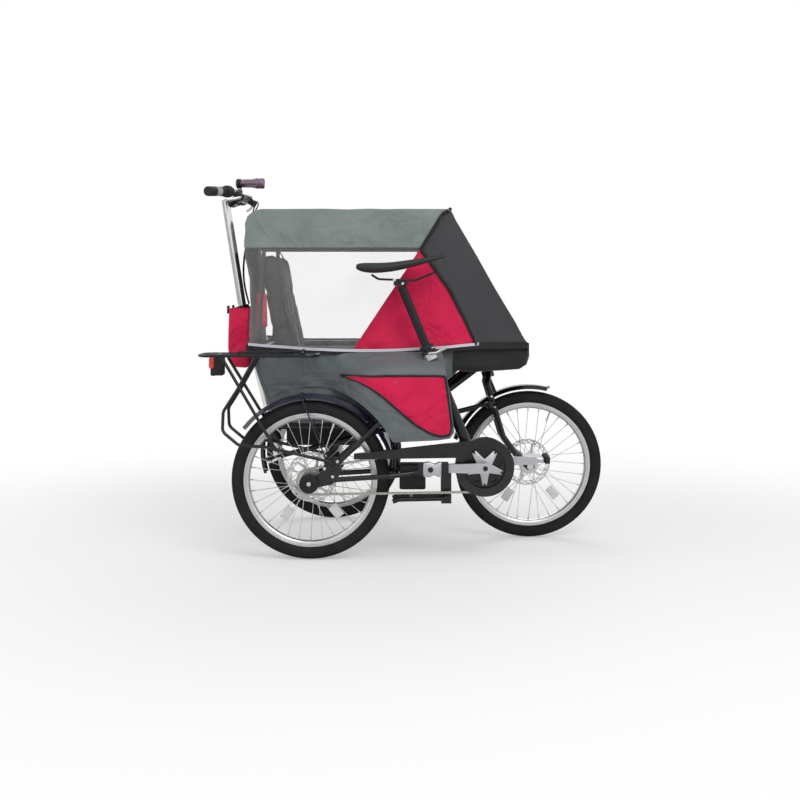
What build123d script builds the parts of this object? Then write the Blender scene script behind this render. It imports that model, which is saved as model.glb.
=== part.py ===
"""Electric cargo trike with a covered child cabin, parked in its compact state.

The drive unit (drive wheel, chain, crank, saddle and rack) is docked beside the cabin, so the
machine stands on three wheels: one steered in front, one driven on the right, one free on the left.
+X is forward, +Y is to the left, +Z is up, and the origin is on the ground under the bounding box.
All lengths are in millimetres and all angles in degrees.
"""

from build123d import *
from math import atan2, cos, degrees, radians, sin, sqrt, tan
import os

# Planes across the machine
CABIN_Y = 29.0
HALF_TRACK = 340.0
DRIVE_Y = CABIN_Y - HALF_TRACK
LEFT_Y = CABIN_Y + HALF_TRACK

# Wheels, 20 inch (47-406)
WHEEL_R = 250.0
TYRE_HALF = 23.5
RIM_OUTER_R = 211.0
RIM_INNER_R = 191.0
RIM_HALF = 13.0
SPOKES = 32
SPOKE_THICK = 2.0
FLANGE_R = 31.0
DRIVE_X, FRONT_X, LEFT_X = -310.0, 413.0, -270.0
ROTOR_R = 80.0
ROTOR_THICK = 2.0
ROTOR_Y = 39.0
AXLE_R = 5.0
STUB_R = 8.0

# Steering: two parallel leaning axes, each given by its X at a height, and the drag link's arms
STEER_TILT = 14.0
FORK_AXIS_X, FORK_AXIS_Z = 297.0, 470.0
COLUMN_AXIS_X, COLUMN_AXIS_Z = -570.0, 801.0
FRONT_ARM_Z = 470.0
POLE_TILT = 9.0
ARM_BACK, ARM_SIDE = 25.0, 86.0
ARM_THICK = 8.0
ARM_HALF = 12.0
PIN_R = 4.0
LINK_R = 8.5
LINK_EYE_R = 14.0
LINK_EYE_TALL = 12.0
STEERER_R = 14.0
BEARING_R = 20.0
FORK_LEG_Y = 58.0
FORK_LEG_R = 10.0

# Cabin
CABIN_REAR_X = -502.0
CANOPY_REAR_X = -512.0
NOSE_FRONT_X = 392.0
HOOP_X = 134.0
TUB_FLOOR_Z = 420.0
NOSE_FLOOR_Z = 592.0
RIM_Z = 668.0
EAVES_Z = 985.0
ROOF_Z = 1110.0
TUB_HALF = 270.0
CANOPY_HALF = 284.0
CANOPY_LEAN = 40.0
NOSE_HALF = 205.0
WALL = 8.0
SKIN = 4.0
POD_HALF = 400.0
POD_SKIN = 6.0
POD_LOW_Z = 374.0

# Frame under the cabin
RAIL_R = 15.0
RAIL_Y = 150.0
RAIL_Z = 405.5
RAIL_REAR_X = -440.0
RIM_TUBE_R = 9.0

# Drive unit
BRACKET_X, BRACKET_Z = 235.0, 297.0
CHAIN_LINE = 45.0
CHAINRING_R = 72.5
CHAIN_IN = 2.0
CHAIN_TALL = 8.0
CHAIN_HALF = 4.0
TOOTH = 1.5
SPROCKET_R = 34.0
CRANK = 170.0
MAST_R = 17.0
DROPOUT = 67.0
RACK_Z = 643.0
RACK_ROD = 5.0
RACK_REAR_X, RACK_FRONT_X = -663.0, -285.0
RACK_HALF = 58.0

# Clearance between pieces of different bodies that bear on each other
RUNNING = 0.3


def side_plane(y):
    """A sketch plane seen from the right, at that Y: local x is +X and local y is +Z."""
    return Plane(origin=(0, y, 0), x_dir=(1, 0, 0), z_dir=(0, -1, 0))


def tube(points, radius, bend=0.0):
    """Adds a round tube along straight runs, with arcs of radius bend between them."""
    with BuildLine() as path:
        if bend:
            FilletPolyline(*points, radius=bend)
        else:
            Polyline(*points)
    with BuildSketch(Plane(origin=path.line @ 0, z_dir=path.line % 0)) as section:
        Circle(radius)
    sweep(sections=section.sketch, path=path.line)


def disc(centre, axis, radius, length, mode=Mode.ADD):
    """Adds a cylinder of that length that starts at centre and runs along axis."""
    with BuildSketch(Plane(origin=centre, z_dir=axis)) as section:
        Circle(radius)
    extrude(to_extrude=section.sketch, amount=length, mode=mode)


def side_plate(points, y_low, y_high, mode=Mode.ADD):
    """Adds a plate with that side-view outline (x, z) between two Y values."""
    with BuildSketch(side_plane(y_high)) as section:
        with BuildLine():
            Polyline(*points, close=True)
        make_face()
    extrude(to_extrude=section.sketch, amount=y_high - y_low, mode=mode)


def ring(centre, profile, start=0.0, sweep_angle=360.0, mode=Mode.ADD):
    """Adds a profile of (radius, y) points revolved about a wheel's axle, from the start angle."""
    c, s = cos(radians(start)), sin(radians(start))
    with BuildSketch(Plane(origin=centre, x_dir=(c, 0, s), z_dir=(-s, 0, c))) as section:
        with BuildLine():
            Polyline(*profile, close=True)
        make_face()
    revolve(
        profiles=section.sketch,
        axis=Axis(centre, (0, -1, 0)),
        revolution_arc=sweep_angle,
        mode=mode,
    )


def mirror_y(points):
    """The (radius, y) points followed by their mirror images, as one closed profile."""
    return points + [(r, -y) for r, y in reversed(points)]


def save(builder, name):
    """Labels a finished piece and writes its STEP file."""
    builder.part.label = name
    export_step(builder.part, f"parts/{name}.step")


STEER_SLOPE = tan(radians(STEER_TILT))
STEER_UP = (-sin(radians(STEER_TILT)), 0, cos(radians(STEER_TILT)))
STEER_AHEAD = (cos(radians(STEER_TILT)), 0, sin(radians(STEER_TILT)))


def fork_axis(z):
    """The point of the fork's steering axis at that height."""
    return (FORK_AXIS_X - (z - FORK_AXIS_Z) * STEER_SLOPE, CABIN_Y, z)


def column_axis(z):
    """The point of the handlebar column's axis at that height."""
    return (COLUMN_AXIS_X - (z - COLUMN_AXIS_Z) * STEER_SLOPE, CABIN_Y, z)


def along(point, direction, distance):
    """The point moved by distance along a unit direction."""
    return tuple(p + distance * d for p, d in zip(point, direction))


def wheel_piece_tyre(centre, name):
    with BuildPart() as tyre:
        ring(
            centre,
            mirror_y([(RIM_OUTER_R, 11.0), (224.0, TYRE_HALF), (238.0, 22.0), (WHEEL_R, 9.0)]),
        )
    save(tyre, name)


def wheel_piece_rim(centre, name):
    with BuildPart() as rim:
        ring(
            centre,
            mirror_y([(RIM_INNER_R, 6.0), (RIM_INNER_R + 7, RIM_HALF), (RIM_OUTER_R, RIM_HALF)]),
        )
    save(rim, name)


def spoke_set(centre, flange_y, lean):
    """Adds the spokes: each leaves a flange at a slant and crosses its neighbours to the rim."""
    pieces = []
    for k in range(SPOKES):
        side = 1 if k % 2 else -1
        turn = 1 if k % 4 < 2 else -1
        rim_angle = radians(360.0 * k / SPOKES)
        hub_angle = rim_angle + radians(lean * turn)
        hub_y = side * (flange_y + turn * SPOKE_THICK)
        hub = Vector(
            centre[0] + (FLANGE_R - 4) * cos(hub_angle),
            centre[1] + hub_y,
            centre[2] + (FLANGE_R - 4) * sin(hub_angle),
        )
        rim = Vector(
            centre[0] + RIM_INNER_R * cos(rim_angle),
            centre[1] + side * 3.0,
            centre[2] + RIM_INNER_R * sin(rim_angle),
        )
        with BuildSketch(Plane(origin=hub, z_dir=rim - hub), mode=Mode.PRIVATE) as section:
            Rectangle(SPOKE_THICK, SPOKE_THICK)
        pieces.append(
            extrude(section.sketch, amount=(rim - hub).length - 0.5, mode=Mode.PRIVATE)
        )
    add(pieces)


def hub_flanges(centre, flange_y, barrel_r, ends):
    """Adds a hub barrel between two Y offsets, with the two spoke flanges on it."""
    disc((centre[0], centre[1] + ends[0], centre[2]), (0, 1, 0), barrel_r, ends[1] - ends[0])
    for side in (-1, 1):
        disc(
            (centre[0], centre[1] + side * flange_y - 2.5, centre[2]),
            (0, 1, 0),
            FLANGE_R,
            5.0,
        )


def rotor(centre, y, name):
    """A brake disc: a slotted outer band on a spider with six arms."""
    with BuildPart() as piece:
        at = (centre[0], centre[1] + y, centre[2])
        half = ROTOR_THICK / 2
        ring(at, [(ROTOR_R - 15, -half), (ROTOR_R - 15, half), (ROTOR_R, half), (ROTOR_R, -half)])
        ring(at, [(17, -half), (17, half), (26, half), (26, -half)])
        for k in range(6):
            a = radians(60 * k)
            b = a + radians(28)
            start = Vector(at[0] + 23 * cos(a), at[1], at[2] + 23 * sin(a))
            end = Vector(at[0] + 68 * cos(b), at[1], at[2] + 68 * sin(b))
            across = (end - start).cross(Vector(0, 1, 0)).normalized() * 3.0
            corners = [start - across, start + across, end + across, end - across]
            side_plate([(p.X, p.Z) for p in corners], at[1] - half, at[1] + half)
    save(piece, name)


def mudguard(centre, start, end):
    """Adds a curved blade over a wheel between two angles."""
    outer = [(259.0, 31.0), (271.0, 21.0)]
    inner = [(268.6, 20.0), (258.0, 28.8)]
    profile = outer + [(r, -y) for r, y in reversed(outer)]
    profile += [(r, -y) for r, y in reversed(inner)] + inner
    ring(centre, profile, start, end - start)


os.makedirs("parts", exist_ok=True)

FRONT_C = (FRONT_X, CABIN_Y, WHEEL_R)
DRIVE_C = (DRIVE_X, DRIVE_Y, WHEEL_R)
LEFT_C = (LEFT_X, LEFT_Y, WHEEL_R)

# Wheels
wheel_piece_tyre(FRONT_C, "front_tyre")
wheel_piece_tyre(DRIVE_C, "drive_tyre")
wheel_piece_tyre(LEFT_C, "left_tyre")
wheel_piece_rim(FRONT_C, "front_rim")
wheel_piece_rim(DRIVE_C, "drive_rim")
wheel_piece_rim(LEFT_C, "left_rim")

FRONT_HUB = 42.0
with BuildPart() as front_hub:
    hub_flanges(FRONT_C, 28.0, 17.0, (-FRONT_HUB, FRONT_HUB))
    spoke_set(FRONT_C, 28.0, 40.0)
    disc((FRONT_X, CABIN_Y - FRONT_HUB, WHEEL_R), (0, 1, 0), AXLE_R + RUNNING, 2 * FRONT_HUB, Mode.SUBTRACT)
save(front_hub, "front_hub")
rotor(FRONT_C, ROTOR_Y, "front_rotor")

# The free left wheel turns on a stub axle that reaches in from its right side
with BuildPart() as left_hub:
    hub_flanges(LEFT_C, 28.0, 17.0, (-36.0, 36.0))
    spoke_set(LEFT_C, 28.0, 40.0)
    disc((LEFT_X, LEFT_Y - 40, WHEEL_R), (0, 1, 0), STUB_R + RUNNING, 70.0, Mode.SUBTRACT)
save(left_hub, "left_hub")

# Drive wheel: a fat gear hub, the sprocket on its right and the brake disc on its left
with BuildPart() as drive_hub:
    hub_flanges(DRIVE_C, 30.0, 26.0, (-38.0, 51.0))
    spoke_set(DRIVE_C, 30.0, 30.0)
    disc((DRIVE_X, DRIVE_Y - 57, WHEEL_R), (0, 1, 0), 20.0, 20.0)
    disc((DRIVE_X, DRIVE_Y - 60, WHEEL_R), (0, 1, 0), AXLE_R + RUNNING, 120.0, Mode.SUBTRACT)
save(drive_hub, "drive_hub")
rotor(DRIVE_C, 52.0, "drive_rotor")


def toothed_disc(centre, y, teeth, radius, depth, thick):
    """Adds a toothed disc whose teeth stand depth above the radius."""
    with BuildSketch(side_plane(centre[1] + y + thick / 2)) as section:
        with Locations((centre[0], centre[2])):
            Circle(radius)
        half = 180.0 / teeth
        for k in range(teeth):
            corners = []
            for turn, r in ((-0.5, radius - 1), (-0.2, radius + depth), (0.2, radius + depth), (0.5, radius - 1)):
                a = radians(360.0 * k / teeth + turn * half * 1.2)
                corners.append((centre[0] + r * cos(a), centre[2] + r * sin(a)))
            with BuildLine():
                Polyline(*corners, close=True)
            make_face()
    extrude(to_extrude=section.sketch, amount=thick)


with BuildPart() as sprocket:
    toothed_disc(DRIVE_C, -CHAIN_LINE, 18, SPROCKET_R, TOOTH, 3.0)
    disc((DRIVE_X, DRIVE_Y - CHAIN_LINE - 2, WHEEL_R), (0, 1, 0), 20.0, 4.0, Mode.SUBTRACT)
save(sprocket, "sprocket")

# Chain: a closed run round the chainring and the sprocket
BRACKET_C = (BRACKET_X, DRIVE_Y, BRACKET_Z)


def chain_loop(offset):
    """The closed side outline of the chain, standing offset outside the two toothed discs."""
    big, small = CHAINRING_R + offset, SPROCKET_R + offset
    run_x, run_z = DRIVE_X - BRACKET_X, WHEEL_R - BRACKET_Z
    distance = sqrt(run_x**2 + run_z**2)
    heading = degrees(atan2(run_z, run_x))
    lean = degrees(atan2(sqrt(distance**2 - (big - small) ** 2), big - small))
    up, down = heading - lean, heading + lean
    corners = []
    for c, r, a in ((BRACKET_C, big, up), (DRIVE_C, small, up), (DRIVE_C, small, down), (BRACKET_C, big, down)):
        corners.append((c[0] + r * cos(radians(a)), c[2] + r * sin(radians(a))))
    back = (DRIVE_X + small * cos(radians(heading)), WHEEL_R + small * sin(radians(heading)))
    front = (BRACKET_X - big * cos(radians(heading)), BRACKET_Z - big * sin(radians(heading)))
    with BuildLine() as outline:
        Line(corners[0], corners[1])
        ThreePointArc(corners[1], back, corners[2])
        Line(corners[2], corners[3])
        ThreePointArc(corners[3], front, corners[0])
    make_face(outline.line.edges())


with BuildPart() as chain:
    with BuildSketch(side_plane(DRIVE_Y - CHAIN_LINE + CHAIN_HALF)) as section:
        chain_loop(CHAIN_IN + CHAIN_TALL)
    extrude(to_extrude=section.sketch, amount=2 * CHAIN_HALF)
    with BuildSketch(side_plane(DRIVE_Y - CHAIN_LINE + CHAIN_HALF)) as section:
        chain_loop(CHAIN_IN)
    extrude(to_extrude=section.sketch, amount=2 * CHAIN_HALF, mode=Mode.SUBTRACT)
save(chain, "chain")

# Crank body: chainring, axle, arms and the two folding pedals
ARM_IN = 76.0
ARM_OUT = 88.0
with BuildPart() as chainring:
    toothed_disc(BRACKET_C, -CHAIN_LINE, 38, CHAINRING_R, TOOTH, 3.0)
    disc((BRACKET_X, DRIVE_Y - CHAIN_LINE - 2, BRACKET_Z), (0, 1, 0), 18.0, 4.0, Mode.SUBTRACT)
    for k in range(5):
        a = radians(90 + 72 * k)
        disc(
            (BRACKET_X + 42 * cos(a), DRIVE_Y - CHAIN_LINE - 3, BRACKET_Z + 42 * sin(a)),
            (0, 1, 0),
            14.0,
            6.0,
            Mode.SUBTRACT,
        )
save(chainring, "chainring")

with BuildPart() as crank_arms:
    disc((BRACKET_X, DRIVE_Y - ARM_OUT, BRACKET_Z), (0, 1, 0), 9.0, 2 * ARM_OUT)
    disc((BRACKET_X, DRIVE_Y - CHAIN_LINE - 6, BRACKET_Z), (0, 1, 0), 18.0, 12.0)
    for side in (-1, 1):
        low = DRIVE_Y - ARM_OUT if side < 0 else DRIVE_Y + ARM_IN
        with BuildSketch(side_plane(low + ARM_OUT - ARM_IN)) as section:
            with Locations((BRACKET_X, BRACKET_Z)):
                Circle(17.0)
            with Locations((BRACKET_X + side * CRANK, BRACKET_Z)):
                Circle(12.5)
            with BuildLine():
                Polyline(
                    (BRACKET_X, BRACKET_Z - 16),
                    (BRACKET_X, BRACKET_Z + 16),
                    (BRACKET_X + side * CRANK, BRACKET_Z + 11.5),
                    (BRACKET_X + side * CRANK, BRACKET_Z - 11.5),
                    close=True,
                )
            make_face()
        extrude(to_extrude=section.sketch, amount=ARM_OUT - ARM_IN)
save(crank_arms, "crank_arms")

# The right pedal is folded up flat against its arm, the left one is open
PEDAL_HALF = 54.0
PEDAL_TALL = 47.0
PEDAL_WIDE = 95.0
PEDAL_THIN = 30.0
RIGHT_PEDAL_X = BRACKET_X - CRANK - 8
LEFT_PEDAL_X = BRACKET_X + CRANK
with BuildPart() as right_pedal:
    disc((BRACKET_X - CRANK, DRIVE_Y - ARM_OUT - PEDAL_THIN, BRACKET_Z), (0, 1, 0), 8.0, PEDAL_THIN)
    with Locations((RIGHT_PEDAL_X + 17, DRIVE_Y - ARM_OUT - PEDAL_THIN / 2 - 1, BRACKET_Z)):
        Box(PEDAL_WIDE, PEDAL_THIN - 3, PEDAL_TALL)
save(right_pedal, "right_pedal")
with BuildPart() as left_pedal:
    disc((LEFT_PEDAL_X, DRIVE_Y + ARM_OUT, BRACKET_Z), (0, 1, 0), 8.0, PEDAL_WIDE)
    with Locations((LEFT_PEDAL_X, DRIVE_Y + ARM_OUT + 5 + PEDAL_WIDE / 2, BRACKET_Z)):
        Box(2 * PEDAL_HALF, PEDAL_WIDE - 10, 24)
save(left_pedal, "left_pedal")

# Drive unit frame
STAY_R = 8.0
SHELL_R = 21.0
SHELL_HALF = 37.0
MAST_FOOT = (209.0, DRIVE_Y, 297.0)
MAST_TOP = (66.5, DRIVE_Y, 642.0)
DROPOUT_X = -255.0
STRUT_X = -42.0
STRUT_LOW, STRUT_HIGH = 272.0, 481.0


def mast_point(z):
    """The point of the mast's axis, or of the seat post's above it, at that height."""
    share = (z - MAST_FOOT[2]) / (MAST_TOP[2] - MAST_FOOT[2])
    return (MAST_FOOT[0] + share * (MAST_TOP[0] - MAST_FOOT[0]), DRIVE_Y, z)


MAST_UP = tuple((Vector(*MAST_TOP) - Vector(*MAST_FOOT)).normalized())
DROPOUT_PLATE = [
    (-322, 240),
    (-300, 232),
    (-238, 246),
    (-206, 286),
    (-224, 330),
    (-262, 330),
    (-266, 290),
    (-296, 268),
    (-322, 262),
]
with BuildPart() as drive_frame:
    disc((BRACKET_X, DRIVE_Y - SHELL_HALF, BRACKET_Z), (0, 1, 0), SHELL_R, 2 * SHELL_HALF)
    tube([MAST_FOOT, MAST_TOP], MAST_R)
    for side in (-1, 1):
        wide = DRIVE_Y + side * DROPOUT
        middle = DRIVE_Y + side * 44
        narrow = DRIVE_Y + side * 24
        tube([(DROPOUT_X, wide, 258), (-60, wide - side * 4, 270), (140, narrow, 289), (222, narrow, 296)], STAY_R, 40)
        tube([(-243, wide, 290), (-94, middle, 431), (45, narrow, 560), (96, DRIVE_Y + side * 9, 592)], STAY_R, 30)
        side_plate(DROPOUT_PLATE, wide - 4, wide + 4)
    tube([(STRUT_X, DRIVE_Y - 62, STRUT_LOW), (STRUT_X, DRIVE_Y + 62, STRUT_LOW)], STAY_R - 1)
    tube([(STRUT_X, DRIVE_Y, STRUT_LOW), (STRUT_X, DRIVE_Y, STRUT_HIGH)], 10.0)
    tube([(STRUT_X, DRIVE_Y - 37, STRUT_HIGH), (STRUT_X, DRIVE_Y + 37, STRUT_HIGH)], STAY_R - 1)
    for side in (-1, 1):
        side_plate([(101, 178), (133, 178), (133, 290), (101, 290)], DRIVE_Y + side * 21 - 2, DRIVE_Y + side * 21 + 2)
    disc((BRACKET_X, DRIVE_Y - ARM_OUT, BRACKET_Z), (0, 1, 0), 9.5, 2 * ARM_OUT, Mode.SUBTRACT)
    disc((DRIVE_X, DRIVE_Y - 100, WHEEL_R), (0, 1, 0), AXLE_R, 200.0, Mode.SUBTRACT)
    disc((117, DRIVE_Y - 30, 196), (0, 1, 0), 5.0 + RUNNING, 60.0, Mode.SUBTRACT)
save(drive_frame, "drive_frame")

with BuildPart() as drive_axle:
    disc((DRIVE_X, DRIVE_Y - DROPOUT - 12, WHEEL_R), (0, 1, 0), AXLE_R, 2 * DROPOUT + 24)
    disc((DRIVE_X, DRIVE_Y - DROPOUT - 20, WHEEL_R), (0, 1, 0), 30.0, 16.0)
    disc((DRIVE_X, DRIVE_Y + DROPOUT + 4, WHEEL_R), (0, 1, 0), 11.0, 10.0)
save(drive_axle, "drive_axle")

# Mudguards, with their stays
with BuildPart() as drive_mudguard:
    mudguard(DRIVE_C, 20.0, 142.0)
    for side in (-1, 1):
        y = DRIVE_Y + side * 33
        root = DRIVE_Y + side * (DROPOUT - 6.5)
        tube([(-250, root, 302), (-262, root, 330), (-336, y, 508), (-340, y, 516)], 2.5, 30)
        side_plate([(-346, 506), (-334, 504), (-332, 520), (-344, 522)], y - 3 if side < 0 else y - 4, y + 4 if side < 0 else y + 3)
save(drive_mudguard, "drive_mudguard")

LEFT_ARM_Y = LEFT_Y - 60
STAY_Y = LEFT_ARM_Y + 14.5
with BuildPart() as left_mudguard:
    mudguard(LEFT_C, 38.0, 198.0)
    disc((LEFT_X, STAY_Y - 2.5, WHEEL_R), (0, 1, 0), 16.0, 5.0)
    for side in (-1, 1):
        tube(
            [(LEFT_X + side * 8, STAY_Y, 260), (LEFT_X + side * 120, STAY_Y, 420), (LEFT_X + side * 154, LEFT_Y - 30, 464)],
            3.0,
            30,
        )
    disc((LEFT_X, STAY_Y - 10, WHEEL_R), (0, 1, 0), STUB_R, 20.0, Mode.SUBTRACT)
save(left_mudguard, "left_mudguard")

# Rack over the drive wheel, on straight stays and on two bent loops
RACK_END_R = 40.0
with BuildPart() as rack:
    for side in (-1, 1):
        wide = DRIVE_Y + side * RACK_HALF
        low = DRIVE_Y + side * (DROPOUT + 10)
        tube(
            [
                (RACK_FRONT_X, DRIVE_Y, RACK_Z),
                (RACK_FRONT_X, wide, RACK_Z),
                (RACK_REAR_X + RACK_ROD, wide, RACK_Z),
                (RACK_REAR_X + RACK_ROD, DRIVE_Y, RACK_Z),
            ],
            RACK_ROD,
            RACK_END_R,
        )
        tube([(-582, wide, RACK_Z - 4), (-575, wide, 625), (-424, low, 372), (-410, low, 349)], RACK_ROD, 40)
        tube(
            [
                (-478, wide, RACK_Z - 4),
                (-532, wide, 542),
                (-578, wide + side * 3, 470),
                (-578, low, 410),
                (-528, low, 368),
                (-440, low, 362),
                (-242, low, 316),
            ],
            RACK_ROD,
            26,
        )
        disc((-242, low - RACK_ROD - 1, 316), (0, 1, 0), 8.0, 2 * RACK_ROD + 2)
    for x in (-600, -500, -400, -320):
        tube([(x, DRIVE_Y - RACK_HALF, RACK_Z), (x, DRIVE_Y + RACK_HALF, RACK_Z)], RACK_ROD - 1)
    for y in (-13, 13):
        tube([(RACK_REAR_X + RACK_ROD, DRIVE_Y + y, RACK_Z), (RACK_FRONT_X, DRIVE_Y + y, RACK_Z)], RACK_ROD - 1)
save(rack, "rack")

with BuildPart() as tail_lamp:
    with Locations((-606, DRIVE_Y, 608)):
        Box(48, 52, 62)
    fillet(tail_lamp.edges().filter_by(Axis.Z), radius=12)
save(tail_lamp, "tail_lamp")

# Chain guard: a hollow ring round the chainring with a tapering arm over the upper run
GUARD_R = 92.0
GUARD_HOLE_R = 66.0
GUARD_IN, GUARD_OUT = 36.0, 58.0


def guard_outline(inset):
    """The guard's side outline: the ring and the arm, drawn in by inset."""
    with Locations((BRACKET_X, BRACKET_Z)):
        Circle(GUARD_R - inset)
    with BuildLine() as outline:
        Polyline(
            (BRACKET_X + 12, BRACKET_Z + GUARD_R - inset),
            (BRACKET_X - 85, 373 - inset),
            (-172, 337 - inset),
            (-172, 321 + inset),
            (BRACKET_X - 84, 326 + inset),
            (BRACKET_X, BRACKET_Z),
            close=True,
        )
    make_face(outline.line.edges())


with BuildPart() as chain_guard:
    with BuildSketch(side_plane(DRIVE_Y - GUARD_IN)) as section:
        guard_outline(0.0)
    extrude(to_extrude=section.sketch, amount=GUARD_OUT - GUARD_IN)
    with BuildSketch(side_plane(DRIVE_Y - GUARD_IN - 2)) as section:
        guard_outline(3.0)
    extrude(to_extrude=section.sketch, amount=GUARD_OUT - GUARD_IN - 4, mode=Mode.SUBTRACT)
    disc((BRACKET_X, DRIVE_Y - GUARD_OUT - 1, BRACKET_Z), (0, 1, 0), GUARD_HOLE_R, 21.0, Mode.SUBTRACT)
    disc((BRACKET_X, DRIVE_Y - GUARD_OUT - 1, BRACKET_Z), (0, 1, 0), SHELL_R, 40.0, Mode.SUBTRACT)
    side_plate(
        [(-200, 200), (-200, 334), (150, 338), (150, 240), (222, 240), (222, 200)],
        DRIVE_Y - GUARD_OUT + 2,
        DRIVE_Y - GUARD_IN - 2,
        Mode.SUBTRACT,
    )
save(chain_guard, "chain_guard")

# Saddle, its post and the quick-release clamp on the mast
POST_R = 13.5


with BuildPart() as seat_post:
    tube([MAST_TOP, mast_point(862)], POST_R)
    with Locations((mast_point(862)[0] - 2, DRIVE_Y, 872)):
        Box(44, 46, 20)
    for side in (-1, 1):
        y = DRIVE_Y + side * 20
        tube([(-118, y, 896), (-96, y, 882), (20, y, 878), (84, y, 904)], 3.5, 20)
save(seat_post, "seat_post")

with BuildPart() as saddle:
    with BuildSketch(side_plane(DRIVE_Y + 80)) as section:
        with BuildLine():
            Polyline(
                (-166, 928),
                (-158, 936),
                (-90, 932),
                (0, 944),
                (80, 958),
                (114, 960),
                (118, 948),
                (60, 926),
                (-40, 900),
                (-150, 896),
                (-164, 908),
                close=True,
            )
        make_face()
    extrude(to_extrude=section.sketch, amount=160)
    with BuildSketch(Plane.XY.offset(880)) as section:
        with BuildLine():
            Polyline(
                (-170, DRIVE_Y - 50),
                (-150, DRIVE_Y - 74),
                (-100, DRIVE_Y - 76),
                (-30, DRIVE_Y - 34),
                (60, DRIVE_Y - 20),
                (112, DRIVE_Y - 16),
                (120, DRIVE_Y),
                (112, DRIVE_Y + 16),
                (60, DRIVE_Y + 20),
                (-30, DRIVE_Y + 34),
                (-100, DRIVE_Y + 76),
                (-150, DRIVE_Y + 74),
                (-170, DRIVE_Y + 50),
                close=True,
            )
        make_face()
    extrude(to_extrude=section.sketch, amount=100, mode=Mode.INTERSECT)
    add(seat_post.part, mode=Mode.SUBTRACT)
save(saddle, "saddle")

with BuildPart() as seat_clamp:
    start = Vector(*MAST_TOP) - Vector(*MAST_UP) * 14
    disc(tuple(start), MAST_UP, MAST_R + 5, 24.0)
    tube([(60, DRIVE_Y - 18, 648), (86, DRIVE_Y - 40, 652), (112, DRIVE_Y - 58, 668)], 5.0, 14)
    disc(tuple(start - Vector(*MAST_UP) * 4), MAST_UP, MAST_R, 18.0, Mode.SUBTRACT)
    disc(tuple(start), MAST_UP, POST_R, 40.0, Mode.SUBTRACT)
save(seat_clamp, "seat_clamp")

with BuildPart() as controller_box:
    with Locations((11, DRIVE_Y, 262)):
        Box(82, 66, 79)
save(controller_box, "controller_box")

# Folded two-legged stand, hinged on the lugs under the drive unit
STAND_X, STAND_Z = 117.0, 196.0
with BuildPart() as kickstand:
    for side in (-1, 1):
        y = DRIVE_Y + side * 34
        disc((STAND_X, DRIVE_Y + side * 34 - 10, STAND_Z), (0, 1, 0), 10.0, 20.0)
        tube([(STAND_X, y, STAND_Z), (STAND_X - 150, y, STAND_Z - 3), (STAND_X - 168, y, STAND_Z - 10)], 7.5, 12)
    tube([(STAND_X - 110, DRIVE_Y - 34, STAND_Z - 2), (STAND_X - 110, DRIVE_Y + 34, STAND_Z - 2)], 6.0)
    disc((STAND_X, DRIVE_Y - 25, STAND_Z), (0, 1, 0), 5.0, 50.0)
save(kickstand, "kickstand")

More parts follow.
